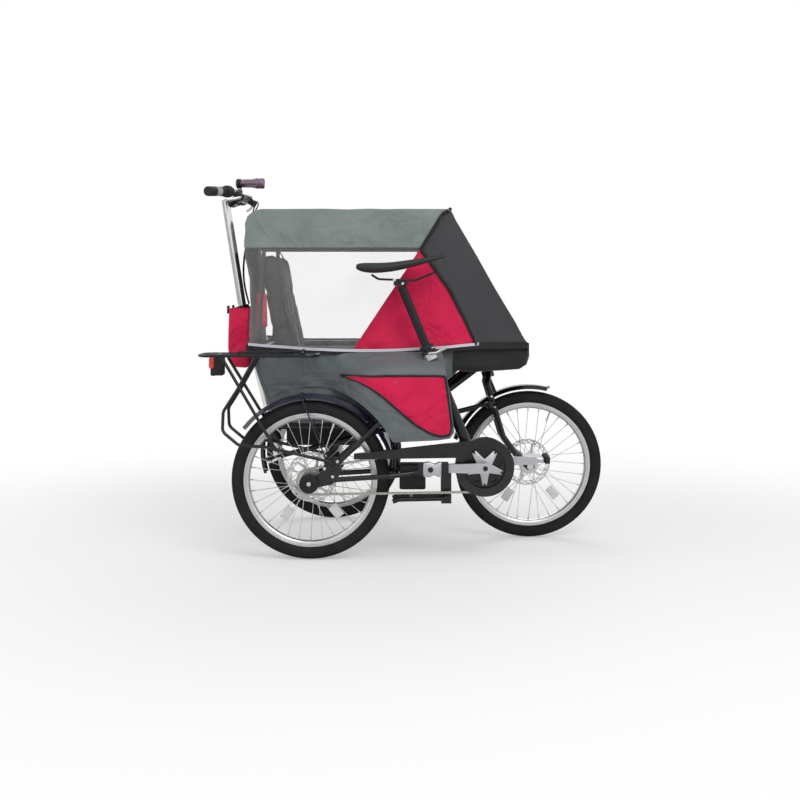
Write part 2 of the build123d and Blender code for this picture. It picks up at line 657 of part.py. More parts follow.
# Frame under the cabin
HEAD_LOW, HEAD_HIGH = 576.0, 700.0
BEARING_LOW, BEARING_HIGH = 330.0, 430.0
UPPER_BEARING_LOW, UPPER_BEARING_HIGH = 640.0, 664.0
with BuildPart() as chassis_frame:
    for side in (-1, 1):
        y = CABIN_Y + side * RAIL_Y
        tube(
            [
                (RAIL_REAR_X, y, RAIL_Z),
                (-20, y, RAIL_Z),
                (fork_axis(600)[0] - 8, CABIN_Y + side * 16, 600),
            ],
            RAIL_R,
            60,
        )
        rim = CABIN_Y + side * (TUB_HALF - WALL - RIM_TUBE_R + 0.5)
        tube(
            [
                (CABIN_REAR_X + WALL + RIM_TUBE_R, CABIN_Y, 652),
                (CABIN_REAR_X + WALL + RIM_TUBE_R, rim, 652),
                (112, rim, 652),
                (330, CABIN_Y + side * 175, 652),
                (372, CABIN_Y + side * 150, 652),
                (372, CABIN_Y, 652),
            ],
            RIM_TUBE_R,
            30,
        )
        tube([(-200, y, RAIL_Z), (-200, CABIN_Y, RAIL_Z)], 12.0)
        tube([(RAIL_REAR_X, y, RAIL_Z), (RAIL_REAR_X, CABIN_Y, RAIL_Z)], RAIL_R)
    tube([(fork_axis(680)[0], CABIN_Y - 215, 652), (fork_axis(680)[0], CABIN_Y + 215, 652)], RIM_TUBE_R - 1)
    disc(fork_axis(HEAD_LOW), STEER_UP, BEARING_R, (HEAD_HIGH - HEAD_LOW) / STEER_UP[2])
    disc(column_axis(BEARING_LOW), STEER_UP, BEARING_R, (BEARING_HIGH - BEARING_LOW) / STEER_UP[2])
    disc(
        column_axis(UPPER_BEARING_LOW),
        STEER_UP,
        BEARING_R,
        (UPPER_BEARING_HIGH - UPPER_BEARING_LOW) / STEER_UP[2],
    )
    tube([column_axis(652), (CABIN_REAR_X + WALL + RIM_TUBE_R, CABIN_Y, 652)], 8.0)
    tube([(STRUT_X, DRIVE_Y, RAIL_Z), (STRUT_X, CABIN_Y - RAIL_Y, RAIL_Z)], 12.0)
    tube([mast_point(600), (mast_point(600)[0], CABIN_Y - TUB_HALF + WALL + RIM_TUBE_R, 648)], 9.0)
    with Locations((-300, CABIN_Y, 389)):
        Box(240, 2 * RAIL_Y - 8, 7)
    tube([(-200, CABIN_Y + RAIL_Y, RAIL_Z), (-200, LEFT_ARM_Y, RAIL_Z), (LEFT_X, LEFT_ARM_Y, WHEEL_R)], 11.0, 30)
    tube([(-360, CABIN_Y + RAIL_Y, RAIL_Z), (-360, LEFT_ARM_Y, RAIL_Z), (LEFT_X, LEFT_ARM_Y, WHEEL_R)], 11.0, 30)
    disc((LEFT_X, LEFT_ARM_Y - 12, WHEEL_R), (0, 1, 0), 16.0, 22.0)
    disc((LEFT_X, LEFT_ARM_Y - 12, WHEEL_R), (0, 1, 0), STUB_R, LEFT_Y + 30 - LEFT_ARM_Y + 12)
    disc(fork_axis(HEAD_LOW - 40), STEER_UP, STEERER_R + RUNNING, 230.0, Mode.SUBTRACT)
    disc(column_axis(BEARING_LOW - 20), STEER_UP, STEERER_R + RUNNING, 160.0, Mode.SUBTRACT)
    disc(column_axis(UPPER_BEARING_LOW - 20), STEER_UP, STEERER_R + RUNNING, 60.0, Mode.SUBTRACT)
    disc(mast_point(540), MAST_UP, MAST_R, 200.0, Mode.SUBTRACT)
    disc((STRUT_X, DRIVE_Y, RAIL_Z - 40), (0, 0, 1), 10.0, 80.0, Mode.SUBTRACT)
save(chassis_frame, "chassis_frame")

with BuildPart() as battery:
    with Locations((-300, CABIN_Y + 60, 349.5)):
        Box(230, 150, 72)
    fillet(battery.edges().filter_by(Axis.X), radius=12)
save(battery, "battery")

# Steering: column and pole, drag link, fork
FORK_FOOT = FORK_AXIS_X - COLUMN_AXIS_X + (FORK_AXIS_Z - FRONT_ARM_Z - COLUMN_AXIS_Z) * STEER_SLOPE
REAR_ARM_Z = (FRONT_ARM_Z - STEER_SLOPE * FORK_FOOT) / (1 + STEER_SLOPE**2)


def arm_pin(axis_point):
    """The middle of a drag link pin: back from a steering axis and out to its right."""
    point = along(axis_point, STEER_AHEAD, -ARM_BACK)
    return (point[0], point[1] - ARM_SIDE, point[2])


REAR_PIN = arm_pin(column_axis(REAR_ARM_Z))
FRONT_PIN = arm_pin(fork_axis(FRONT_ARM_Z))


def steer_plane(point, lift):
    """A sketch plane square to the steering axes: local x is ahead and local y is to the left."""
    return Plane(origin=along(point, STEER_UP, lift), x_dir=STEER_AHEAD, z_dir=STEER_UP)


def steering_arm(axis_point, start, low, high):
    """Adds an arm to the drag link pin, between two lifts along the axis. Start is the place
    (ahead, left) of its root on the plane square to the axis."""
    reach = sqrt((ARM_BACK + start[0]) ** 2 + (ARM_SIDE + start[1]) ** 2)
    across = (ARM_HALF * (ARM_SIDE + start[1]) / reach, -ARM_HALF * (ARM_BACK + start[0]) / reach)
    with BuildSketch(steer_plane(axis_point, low)) as section:
        with Locations(start, (-ARM_BACK, -ARM_SIDE)):
            Circle(ARM_HALF)
        with BuildLine():
            Polyline(
                (start[0] + across[0], start[1] + across[1]),
                (-ARM_BACK + across[0], -ARM_SIDE + across[1]),
                (-ARM_BACK - across[0], -ARM_SIDE - across[1]),
                (start[0] - across[0], start[1] - across[1]),
                close=True,
            )
        make_face()
    extrude(to_extrude=section.sketch, amount=high - low)


EYE_HALF = LINK_EYE_TALL / 2
ARM_LOW = -EYE_HALF - RUNNING - ARM_THICK
POLE_TOP = (
    COLUMN_AXIS_X - 354 * tan(radians(POLE_TILT)),
    CABIN_Y,
    COLUMN_AXIS_Z + 354,
)
with BuildPart() as steering_column:
    tube([along(column_axis(REAR_ARM_Z), STEER_UP, ARM_LOW), column_axis(COLUMN_AXIS_Z), POLE_TOP], STEERER_R, 60)
    disc(along(column_axis(REAR_ARM_Z), STEER_UP, ARM_LOW - 4), STEER_UP, BEARING_R, 30.0)
    steering_arm(column_axis(REAR_ARM_Z), (0, 0), ARM_LOW, ARM_LOW + ARM_THICK)
    disc(along(REAR_PIN, STEER_UP, ARM_LOW + 1), STEER_UP, PIN_R, LINK_EYE_TALL + ARM_THICK + 2)
save(steering_column, "steering_column")

with BuildPart() as pole_clamp:
    disc(column_axis(768), STEER_UP, 22.0, 26.0)
    with Locations((column_axis(781)[0] + 26, CABIN_Y, 781)):
        Box(24, 16, 20)
    disc(column_axis(740), STEER_UP, STEERER_R, 70.0, Mode.SUBTRACT)
save(pole_clamp, "pole_clamp")

with BuildPart() as drag_link:
    for pin in (REAR_PIN, FRONT_PIN):
        disc(along(pin, STEER_UP, -EYE_HALF), STEER_UP, LINK_EYE_R, LINK_EYE_TALL)
    tube([REAR_PIN, FRONT_PIN], 5.0)
    tube([along(REAR_PIN, STEER_AHEAD, 40), along(FRONT_PIN, STEER_AHEAD, -40)], LINK_R)
    for pin in (REAR_PIN, FRONT_PIN):
        disc(along(pin, STEER_UP, -20), STEER_UP, PIN_R + RUNNING, 40.0, Mode.SUBTRACT)
save(drag_link, "drag_link")

with BuildPart() as fork:
    disc(fork_axis(552), STEER_UP, STEERER_R, (HEAD_HIGH - 552) / STEER_UP[2])
    disc(fork_axis(548), STEER_UP, 21.0, 22.0)
    for side in (-1, 1):
        y = CABIN_Y + side * FORK_LEG_Y
        tube(
            [
                (fork_axis(560)[0], CABIN_Y, 560),
                (fork_axis(560)[0], CABIN_Y + side * 38, 560),
                (268, y, 530),
                (290, y, 456),
                (322, y, 350),
                (364, y, 292),
                (402, y, 258),
            ],
            FORK_LEG_R,
            9,
        )
        side_plate([(390, 250), (400, 270), (424, 264), (430, 246), (418, 236), (404, 238)], y - 4, y + 4)
    steering_arm(fork_axis(FRONT_ARM_Z), (-10.7, -FORK_LEG_Y), ARM_LOW, ARM_LOW + ARM_THICK)
    disc(along(FRONT_PIN, STEER_UP, ARM_LOW + 1), STEER_UP, PIN_R, LINK_EYE_TALL + ARM_THICK + 2)
    disc((FRONT_X, CABIN_Y - 100, WHEEL_R), (0, 1, 0), AXLE_R, 200.0, Mode.SUBTRACT)
save(fork, "fork")

with BuildPart() as front_axle:
    disc((FRONT_X, CABIN_Y - FORK_LEG_Y - 12, WHEEL_R), (0, 1, 0), AXLE_R, 2 * FORK_LEG_Y + 36)
    disc((FRONT_X, CABIN_Y - FORK_LEG_Y - 16, WHEEL_R), (0, 1, 0), 11.0, 12.0)
    disc((FRONT_X, CABIN_Y + FORK_LEG_Y + 4, WHEEL_R), (0, 1, 0), 11.0, 12.0)
save(front_axle, "front_axle")

with BuildPart() as front_mudguard:
    mudguard(FRONT_C, 76.5, 161.0)
    side_plate([(290, 494), (304, 498), (283, 548.8), (270, 545.6)], CABIN_Y - 8, CABIN_Y + 8)
save(front_mudguard, "front_mudguard")

with BuildPart() as front_caliper:
    with Locations((341, CABIN_Y + 38, 294)):
        Box(38, 20, 34)
    disc((FRONT_X, CABIN_Y + ROTOR_Y - 2.5, WHEEL_R), (0, 1, 0), ROTOR_R + 3, 5.0, Mode.SUBTRACT)
save(front_caliper, "front_caliper")

# Handlebar: swept-back bar, grips, levers and lamp
BAR_R = 11.1
BAR_HALF = 300.0
BAR_Z = POLE_TOP[2] + 10
with BuildPart() as handlebar:
    tube(
        [
            (-640, CABIN_Y - BAR_HALF, BAR_Z - 2),
            (-560, CABIN_Y - 140, BAR_Z + 8),
            (-580, CABIN_Y - 40, BAR_Z),
            (-580, CABIN_Y + 40, BAR_Z),
            (-560, CABIN_Y + 140, BAR_Z + 8),
            (-640, CABIN_Y + BAR_HALF, BAR_Z - 2),
        ],
        BAR_R,
        30,
    )
    disc((-580, CABIN_Y - 24, BAR_Z), (0, 1, 0), 17.0, 48.0)
    tube([(POLE_TOP[0] + 4, CABIN_Y, POLE_TOP[2] - 22), (-580, CABIN_Y, BAR_Z)], 12.0)
    disc(along(POLE_TOP, (-sin(radians(POLE_TILT)), 0, cos(radians(POLE_TILT))), -80), (-sin(radians(POLE_TILT)), 0, cos(radians(POLE_TILT))), STEERER_R, 80.0, Mode.SUBTRACT)
save(handlebar, "handlebar")



def bar_end(side):
    """The bar's end on that side, and the direction along the bar back towards the middle."""
    end = Vector(-640, CABIN_Y + side * BAR_HALF, BAR_Z - 2)
    inner = Vector(-560, CABIN_Y + side * 140, BAR_Z + 8)
    return end, (inner - end).normalized()


with BuildPart() as grips:
    for side in (-1, 1):
        end, inward = bar_end(side)
        disc(tuple(end - inward * 6), tuple(inward), 16.0, 98.0)
        disc(tuple(end + inward * 92), tuple(inward), 20.0, 34.0)
        disc(tuple(end), tuple(inward), BAR_R, 200.0, Mode.SUBTRACT)
save(grips, "grips")

with BuildPart() as brake_levers:
    for side in (-1, 1):
        end, inward = bar_end(side)
        ahead = Vector(0.86, 0, -0.5)
        disc(tuple(end + inward * 128), tuple(inward), 16.0, 18.0)
        lever = [
            end + inward * 137 + ahead * 6,
            end + inward * 137 + ahead * 36,
            end + inward * 60 + ahead * 52,
            end + inward * 10 + ahead * 58,
        ]
        tube([tuple(point) for point in lever], 5.0, 10)
        disc(tuple(end + inward * 100), tuple(inward), BAR_R, 80.0, Mode.SUBTRACT)
save(brake_levers, "brake_levers")

with BuildPart() as headlamp:
    lamp_z = BAR_Z + 42
    disc((-582, CABIN_Y - 60, lamp_z), (1, 0, 0), 15.0, 64.0)
    disc((-518, CABIN_Y - 60, lamp_z), (1, 0, 0), 18.0, 32.0)
    with Locations((-573, CABIN_Y - 60, lamp_z - 22)):
        Box(20, 16, 26)
    add(handlebar.part, mode=Mode.SUBTRACT)
save(headlamp, "headlamp")

# Cabin shells, cut from one outer form: a side outline crossed with a plan outline
TUB_SIDE = [
    (CABIN_REAR_X, RIM_Z),
    (CABIN_REAR_X, 620.0),
    (-454.0, 480.0),
    (-440.0, TUB_FLOOR_Z),
    (-4.0, TUB_FLOOR_Z),
    (160.0, NOSE_FLOOR_Z),
    (372.0, NOSE_FLOOR_Z),
    (NOSE_FRONT_X, 624.0),
    (NOSE_FRONT_X, RIM_Z),
]
CANOPY_SIDE = [
    (CANOPY_REAR_X, RIM_Z),
    (CANOPY_REAR_X, 1070.0),
    (CANOPY_REAR_X + 10, 1098.0),
    (CANOPY_REAR_X + 38, ROOF_Z),
    (HOOP_X, ROOF_Z),
    (280.0, 860.0),
    (350.0, 745.0),
    (NOSE_FRONT_X, RIM_Z),
]


def drawn_in(outline, wall):
    """A closed side outline drawn in by a wall, as a face."""
    with BuildSketch(Plane.XY, mode=Mode.PRIVATE) as flat:
        with BuildLine():
            Polyline(*outline, close=True)
        make_face()
        offset(amount=-wall, kind=Kind.INTERSECTION, mode=Mode.REPLACE)
    return [(v.X, v.Y) for v in flat.sketch.faces()[0].outer_wire().order_edges().vertices()]


def cabin_form(outline, half, nose_half, mode, lean=0.0):
    """Adds or takes away a side outline extruded between the cabin's sides, which taper to the
    nose and, above the rim, lean in by that much up to the roof."""
    with BuildPart(mode=Mode.PRIVATE) as form:
        side_plate(outline, CABIN_Y - half, CABIN_Y + half)
        with BuildSketch(Plane.XY.offset(TUB_FLOOR_Z - 50)) as plan:
            with BuildLine():
                Polyline(
                    (CANOPY_REAR_X - 50, CABIN_Y - half),
                    (HOOP_X, CABIN_Y - half),
                    (NOSE_FRONT_X + 1, CABIN_Y - nose_half),
                    (NOSE_FRONT_X + 1, CABIN_Y + nose_half),
                    (HOOP_X, CABIN_Y + half),
                    (CANOPY_REAR_X - 50, CABIN_Y + half),
                    close=True,
                )
            make_face()
        extrude(to_extrude=plan.sketch, amount=900, mode=Mode.INTERSECT)
        with BuildSketch(Plane.YZ.offset(-900)) as across:
            with BuildLine():
                Polyline(
                    (CABIN_Y - half, 0),
                    (CABIN_Y - half, RIM_Z),
                    (CABIN_Y - half + lean, ROOF_Z),
                    (CABIN_Y + half - lean, ROOF_Z),
                    (CABIN_Y + half, RIM_Z),
                    (CABIN_Y + half, 0),
                    close=True,
                )
            make_face()
        extrude(to_extrude=across.sketch, amount=1800, mode=Mode.INTERSECT)
    add(form.part, mode=mode)


# The tub is open at the top, and the nose in front of the footwell is a part of its own
NOSE_SPLIT_X = 100.0
TUB_INNER = [
    (CABIN_REAR_X + WALL, RIM_Z + 20),
    (CABIN_REAR_X + WALL, 622.0),
    (-446.0, 482.0),
    (-433.0, TUB_FLOOR_Z + WALL),
    (-7.8, TUB_FLOOR_Z + WALL),
    (156.2, NOSE_FLOOR_Z + WALL),
    (369.0, NOSE_FLOOR_Z + WALL),
    (NOSE_FRONT_X - WALL, 627.0),
    (NOSE_FRONT_X - WALL, RIM_Z + 20),
]
NOSE_PART = [(160, 500), (500, 500), (500, 700), (NOSE_SPLIT_X, 700), (NOSE_SPLIT_X, RIM_Z - 10)]
for name in ("tub", "nose"):
    with BuildPart() as shell:
        cabin_form(TUB_SIDE, TUB_HALF, NOSE_HALF, Mode.ADD)
        cabin_form(TUB_INNER, TUB_HALF - WALL, NOSE_HALF - WALL, Mode.SUBTRACT)
        side_plate(
            NOSE_PART, CABIN_Y - 400, CABIN_Y + 400, Mode.SUBTRACT if name == "tub" else Mode.INTERSECT
        )
        disc(fork_axis(HEAD_LOW - 40), STEER_UP, BEARING_R, 120.0, Mode.SUBTRACT)
        add(chassis_frame.part, mode=Mode.SUBTRACT)
    save(shell, name)

# Canopy panels that meet at real seams
PIPE_TOP = (110.0, 1094.0)
PIPE_BEND = (39.0, 979.0)
PIPE_MIDDLE = (132.0, 848.0)
PIPE_LOW = (212.0, 687.0)
QUARTER_LOW = (-166.0, 672.0)
PIPE_EAVES = (42.6, EAVES_Z)
ROOF_EDGE = (HOOP_X, ROOF_Z - 1)
ROOF_OUTLINE = [(-700, EAVES_Z), PIPE_EAVES, PIPE_TOP, ROOF_EDGE, (HOOP_X, 1300), (-700, 1300)]
WINDOW_OUTLINE = [(-700, RIM_Z), (-166.0, RIM_Z), QUARTER_LOW, PIPE_BEND, PIPE_EAVES, (-700, EAVES_Z)]
QUARTER_OUTLINE = [(-166.0, RIM_Z), (212.0, RIM_Z), PIPE_LOW, PIPE_MIDDLE, PIPE_BEND, QUARTER_LOW]
MESH_OUTLINE = [
    (212.0, RIM_Z),
    (500, RIM_Z),
    (500, 1300),
    (HOOP_X, 1300),
    ROOF_EDGE,
    PIPE_TOP,
    PIPE_EAVES,
    PIPE_BEND,
    PIPE_MIDDLE,
    PIPE_LOW,
]
CANOPY_INNER = [
    (CANOPY_REAR_X + SKIN, RIM_Z - 20),
    (CANOPY_REAR_X + SKIN, 1069.0),
    (CANOPY_REAR_X + 13, 1095.5),
    (CANOPY_REAR_X + 39, ROOF_Z - SKIN),
    (HOOP_X - 2.3, ROOF_Z - SKIN),
    (276.6, 857.9),
    (346.5, 743.0),
    (NOSE_FRONT_X - 4.6, RIM_Z - 20),
]
BACK_HALF = 235.0
BACK_OUTLINE = [(-700, RIM_Z), (CANOPY_REAR_X + SKIN, RIM_Z), (CANOPY_REAR_X + SKIN, EAVES_Z), (-700, EAVES_Z)]
CANOPY_PIECES = (
    # name, side outline, and the part of the width that the piece covers
    ("canopy_roof", ROOF_OUTLINE, "all"),
    ("canopy_back", BACK_OUTLINE, "middle"),
    ("windows", WINDOW_OUTLINE, "sides"),
    ("quarter_panels", QUARTER_OUTLINE, "sides"),
    ("canopy_mesh", MESH_OUTLINE, "all"),
)
for name, outline, width in CANOPY_PIECES:
    with BuildPart() as shell:
        cabin_form(CANOPY_SIDE, CANOPY_HALF, NOSE_HALF, Mode.ADD, CANOPY_LEAN)
        cabin_form(CANOPY_INNER, CANOPY_HALF - SKIN, NOSE_HALF - SKIN, Mode.SUBTRACT, CANOPY_LEAN)
        side_plate(outline, CABIN_Y - 400, CABIN_Y + 400, Mode.INTERSECT)
        if width != "all":
            side_plate(
                [(-700, 500), (700, 500), (700, 1300), (-700, 1300)],
                CABIN_Y - BACK_HALF,
                CABIN_Y + BACK_HALF,
                Mode.SUBTRACT if width == "sides" else Mode.INTERSECT,
            )
    save(shell, name)

# Hoops that carry the canopy, standing on the rim tubes
HOOP_R = 7.0
HOOP_TOP_Z = ROOF_Z - SKIN - HOOP_R - 1
HOOP_FOOT_Z = 661.0
HOOPS = (
    # X of the feet, X of the top
    (30.0, HOOP_X - 16),
    (-485.0, -462.0),
)
with BuildPart() as hoops:
    for foot_x, top_x in HOOPS:
        foot_y = TUB_HALF - WALL - RIM_TUBE_R
        top_y = CANOPY_HALF - CANOPY_LEAN - SKIN - HOOP_R - 1
        tube(
            [
                (foot_x, CABIN_Y - foot_y, HOOP_FOOT_Z),
                (top_x, CABIN_Y - top_y, HOOP_TOP_Z),
                (top_x, CABIN_Y + top_y, HOOP_TOP_Z),
                (foot_x, CABIN_Y + foot_y, HOOP_FOOT_Z),
            ],
            HOOP_R,
            30,
        )
    add(chassis_frame.part, mode=Mode.SUBTRACT)
save(hoops, "hoops")

# Rim band round the cabin where the canopy meets the tub
with BuildPart() as rim_band:
    cabin_form(
        [(CANOPY_REAR_X, RIM_Z - 16), (CANOPY_REAR_X, RIM_Z), (NOSE_FRONT_X + 1, RIM_Z), (NOSE_FRONT_X + 1, RIM_Z - 16)],
        CANOPY_HALF,
        NOSE_HALF + 1,
        Mode.ADD,
    )
    cabin_form(
        [(CABIN_REAR_X, RIM_Z - 30), (CABIN_REAR_X, RIM_Z + 10), (NOSE_FRONT_X, RIM_Z + 10), (NOSE_FRONT_X, RIM_Z - 30)],
        TUB_HALF,
        NOSE_HALF,
        Mode.SUBTRACT,
    )
    add(chassis_frame.part, mode=Mode.SUBTRACT)
save(rim_band, "rim_band")

# Side pods: cloth fairings that swell out from the tub over the mast and the wheels
ARCH_R = 287.0
POD_TOP_Z = 650.0
POD_REAR_X = -470.0
POD_LOW_X = 146.0
POD_HIGH_X = 104.0
POD_BULGE_X = -100.0
POD_TAPER_X = -270.0


def pod_outline(wheel_x, inset):
    """A pod's side outline: straight edges and an arch over the wheel."""
    reach = sqrt(ARCH_R**2 - (POD_LOW_Z - WHEEL_R) ** 2)
    corners = [
        (POD_REAR_X, POD_TOP_Z - inset),
        (POD_REAR_X + 16, 540.0),
    ]
    for angle in (112, 95, 78, 61, 44, 30):
        corners.append((wheel_x + ARCH_R * cos(radians(angle)), WHEEL_R + ARCH_R * sin(radians(angle))))
    corners.append((wheel_x + reach, POD_LOW_Z - inset))
    corners.append((POD_LOW_X - inset, POD_LOW_Z - inset))
    corners.append((POD_HIGH_X - inset, POD_TOP_Z - inset))
    return corners


def pod_plan(side, inset):
    """A pod's plan outline out from the tub's side."""
    root = CABIN_Y + side * TUB_HALF
    outer = CABIN_Y + side * (POD_HALF - inset)
    return [
        (POD_REAR_X - 10, root - side * inset),
        (POD_REAR_X - 10, root + side * (POD_SKIN - inset)),
        (POD_TAPER_X, root + side * (POD_SKIN - inset)),
        (POD_BULGE_X, outer),
        (POD_LOW_X + 4 - 2 * inset, outer),
        (POD_LOW_X + 4 - 2 * inset, root - side * inset),
    ]


RED_OUTLINE = [
    (-215.0, 577.0),
    (100.0, 580.0),
    (128.0, 396.0),
    (90.0, 396.0),
    (0.0, 440.0),
    (-90.0, 522.0),
    (-160.0, 560.0),
]
CLAMP_OPENING = [(3.0, 622.0), (97.0, 622.0), (112.0, 700.0), (3.0, 700.0)]
red_sides = []
for side, side_name, wheel_x in ((-1, "right", DRIVE_X), (1, "left", LEFT_X)):
    for red in (False, True):
        with BuildPart() as pod:
            side_plate(pod_outline(wheel_x, 0.0), CABIN_Y - 400, CABIN_Y + 400)
            with BuildSketch(Plane.XY.offset(300)) as plan:
                with BuildLine():
                    Polyline(*pod_plan(side, 0.0), close=True)
                make_face()
            extrude(to_extrude=plan.sketch, amount=400, mode=Mode.INTERSECT)
            with BuildPart(mode=Mode.PRIVATE) as hollow:
                side_plate(
                    [(-600, 200), (-600, POD_TOP_Z - POD_SKIN), (POD_HIGH_X - POD_SKIN, POD_TOP_Z - POD_SKIN), (POD_LOW_X - POD_SKIN, 370), (POD_LOW_X - POD_SKIN, 200)],
                    CABIN_Y - 400,
                    CABIN_Y + 400,
                )
                with BuildSketch(Plane.XY.offset(100)) as plan:
                    with BuildLine():
                        Polyline(*pod_plan(side, POD_SKIN), close=True)
                    make_face()
                extrude(to_extrude=plan.sketch, amount=600, mode=Mode.INTERSECT)
            add(hollow.part, mode=Mode.SUBTRACT)
            side_plate(RED_OUTLINE, CABIN_Y - 400, CABIN_Y + 400, Mode.INTERSECT if red else Mode.SUBTRACT)
            if side < 0 and not red:
                side_plate(CLAMP_OPENING, CABIN_Y - 400, CABIN_Y - TUB_HALF - 20, Mode.SUBTRACT)
                add(drive_frame.part, mode=Mode.SUBTRACT)
                add(chassis_frame.part, mode=Mode.SUBTRACT)
        if red:
            red_sides.append(pod.part)
        else:
            save(pod, f"{side_name}_pod")
with BuildPart() as red_panels:
    add(red_sides)
save(red_panels, "red_panels")

# Inside the cabin
with BuildPart() as seat_back:
    side_plate([(-396, 478.3), (-350, 478.3), (-440, 980), (-484, 975)], CABIN_Y - 215, CABIN_Y + 215)
save(seat_back, "seat_back")
with BuildPart() as seat_cushion:
    side_plate([(-392, 428.3), (-100, 428.3), (-92, 500), (-348, 478), (-396, 478)], CABIN_Y - 215, CABIN_Y + 215)
save(seat_cushion, "seat_cushion")

with BuildPart() as rear_pocket:
    with Locations((CANOPY_REAR_X - 39, CABIN_Y - 138, 690)):
        Box(78, 190, 196)
    fillet(rear_pocket.edges().filter_by(Axis.Y).group_by(Axis.Z)[0], radius=26)
save(rear_pocket, "rear_pocket")
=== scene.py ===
# %% [markdown]
# # A cargo trike with a covered child cabin
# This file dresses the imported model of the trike. The model gives every tube, wheel and panel its
# real place, in metres, with X forward, Y to the left and Z up. Here each surface gets its look,
# and the soft and fine pieces are modelled and laid over the solids that stand for them.

# %% Load the frame
import math

import bpy
import bmesh
from mathutils import Matrix, Vector, noise


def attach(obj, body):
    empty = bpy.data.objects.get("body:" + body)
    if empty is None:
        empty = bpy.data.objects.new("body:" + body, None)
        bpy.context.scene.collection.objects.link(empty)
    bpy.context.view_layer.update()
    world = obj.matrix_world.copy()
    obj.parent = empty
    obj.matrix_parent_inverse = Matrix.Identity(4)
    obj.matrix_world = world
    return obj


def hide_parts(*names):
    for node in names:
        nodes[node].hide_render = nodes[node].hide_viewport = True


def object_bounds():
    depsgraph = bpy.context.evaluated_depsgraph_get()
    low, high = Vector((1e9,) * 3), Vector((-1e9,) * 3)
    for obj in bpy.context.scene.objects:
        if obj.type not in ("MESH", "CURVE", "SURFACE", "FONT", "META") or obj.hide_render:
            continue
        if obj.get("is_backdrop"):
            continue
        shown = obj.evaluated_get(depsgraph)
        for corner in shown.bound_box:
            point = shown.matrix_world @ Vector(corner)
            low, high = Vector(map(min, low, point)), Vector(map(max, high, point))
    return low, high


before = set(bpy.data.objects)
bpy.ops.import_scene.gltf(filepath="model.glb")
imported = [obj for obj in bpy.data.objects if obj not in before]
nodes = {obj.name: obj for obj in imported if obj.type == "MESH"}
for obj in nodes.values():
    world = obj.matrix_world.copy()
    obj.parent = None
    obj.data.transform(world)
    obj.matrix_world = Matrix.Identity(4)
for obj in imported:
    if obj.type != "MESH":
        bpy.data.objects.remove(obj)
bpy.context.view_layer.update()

# %% [markdown]
# ## Camera
# The photograph was taken square to the right side, from about four metres, at chest height.
# A longer lens keeps the wheels round. The principal point sits above the middle of the picture,
# so the camera stays level and the lens is shifted down instead of tilted.

# %% Camera
CABIN_Y = 0.029
DRIVE_Y = -0.311
camera_data = bpy.data.cameras.new("studio_camera")
camera_data.sensor_width = 36.0
camera_data.lens = 55.08
camera_data.shift_x = 0.00625
camera_data.shift_y = -0.14625
camera = bpy.data.objects.new("studio_camera", camera_data)
camera.location = (-0.044, -4.175, 0.870)
camera.rotation_euler = (math.radians(90), 0, 0)
bpy.context.scene.collection.objects.link(camera)
bpy.context.scene.camera = camera
bpy.context.scene.view_settings.view_transform = "Standard"

# %% [markdown]
# ## Light, floor and background
# A plain studio: one large soft lamp high on the camera's side, a weaker one from each end, and a
# pale world. The background is white only for rays that come straight from the camera or by way of
# glass and polished metal, so that it doesn't pour light on the trike. The floor is a real surface
# that keeps the shadow.

# %% Studio
def soft_lamp(name, place, aim, size, power):
    """A square soft lamp that faces a point."""
    data = bpy.data.lights.new(name, "AREA")
    data.shape = "SQUARE"
    data.size = size
    data.energy = power
    lamp = bpy.data.objects.new(name, data)
    lamp.location = place
    lamp.rotation_euler = (Vector(aim) - Vector(place)).to_track_quat("-Z", "Y").to_euler()
    bpy.context.scene.collection.objects.link(lamp)
    return lamp


soft_lamp("key_lamp", (1.4, -3.2, 3.4), (0.0, -0.1, 0.5), 2.4, 78)
soft_lamp("rear_lamp", (-3.4, -1.4, 2.4), (-0.2, 0.0, 0.5), 2.0, 28)
soft_lamp("far_lamp", (0.4, 3.4, 3.0), (0.0, 0.0, 0.6), 2.4, 42)

world = bpy.data.worlds.new("studio_world")
bpy.context.scene.world = world
world.use_nodes = True
wt = world.node_tree
wt.nodes.clear()
w_out = wt.nodes.new("ShaderNodeOutputWorld")
w_soft = wt.nodes.new("ShaderNodeBackground")
w_soft.inputs["Color"].default_value = (1, 1, 1, 1)
w_soft.inputs["Strength"].default_value = 0.50
w_white = wt.nodes.new("ShaderNodeBackground")
w_white.inputs["Color"].default_value = (1, 1, 1, 1)
w_white.inputs["Strength"].default_value = 1.0
w_path = wt.nodes.new("ShaderNodeLightPath")
w_any = wt.nodes.new("ShaderNodeMath")
w_any.operation = "MAXIMUM"
w_all = wt.nodes.new("ShaderNodeMath")
w_all.operation = "MAXIMUM"
w_mix = wt.nodes.new("ShaderNodeMixShader")
wt.links.new(w_path.outputs["Is Camera Ray"], w_any.inputs[0])
wt.links.new(w_path.outputs["Is Transmission Ray"], w_any.inputs[1])
wt.links.new(w_any.outputs[0], w_all.inputs[0])
wt.links.new(w_path.outputs["Is Glossy Ray"], w_all.inputs[1])
wt.links.new(w_all.outputs[0], w_mix.inputs[0])
wt.links.new(w_soft.outputs[0], w_mix.inputs[1])
wt.links.new(w_white.outputs[0], w_mix.inputs[2])
wt.links.new(w_mix.outputs[0], w_out.inputs["Surface"])

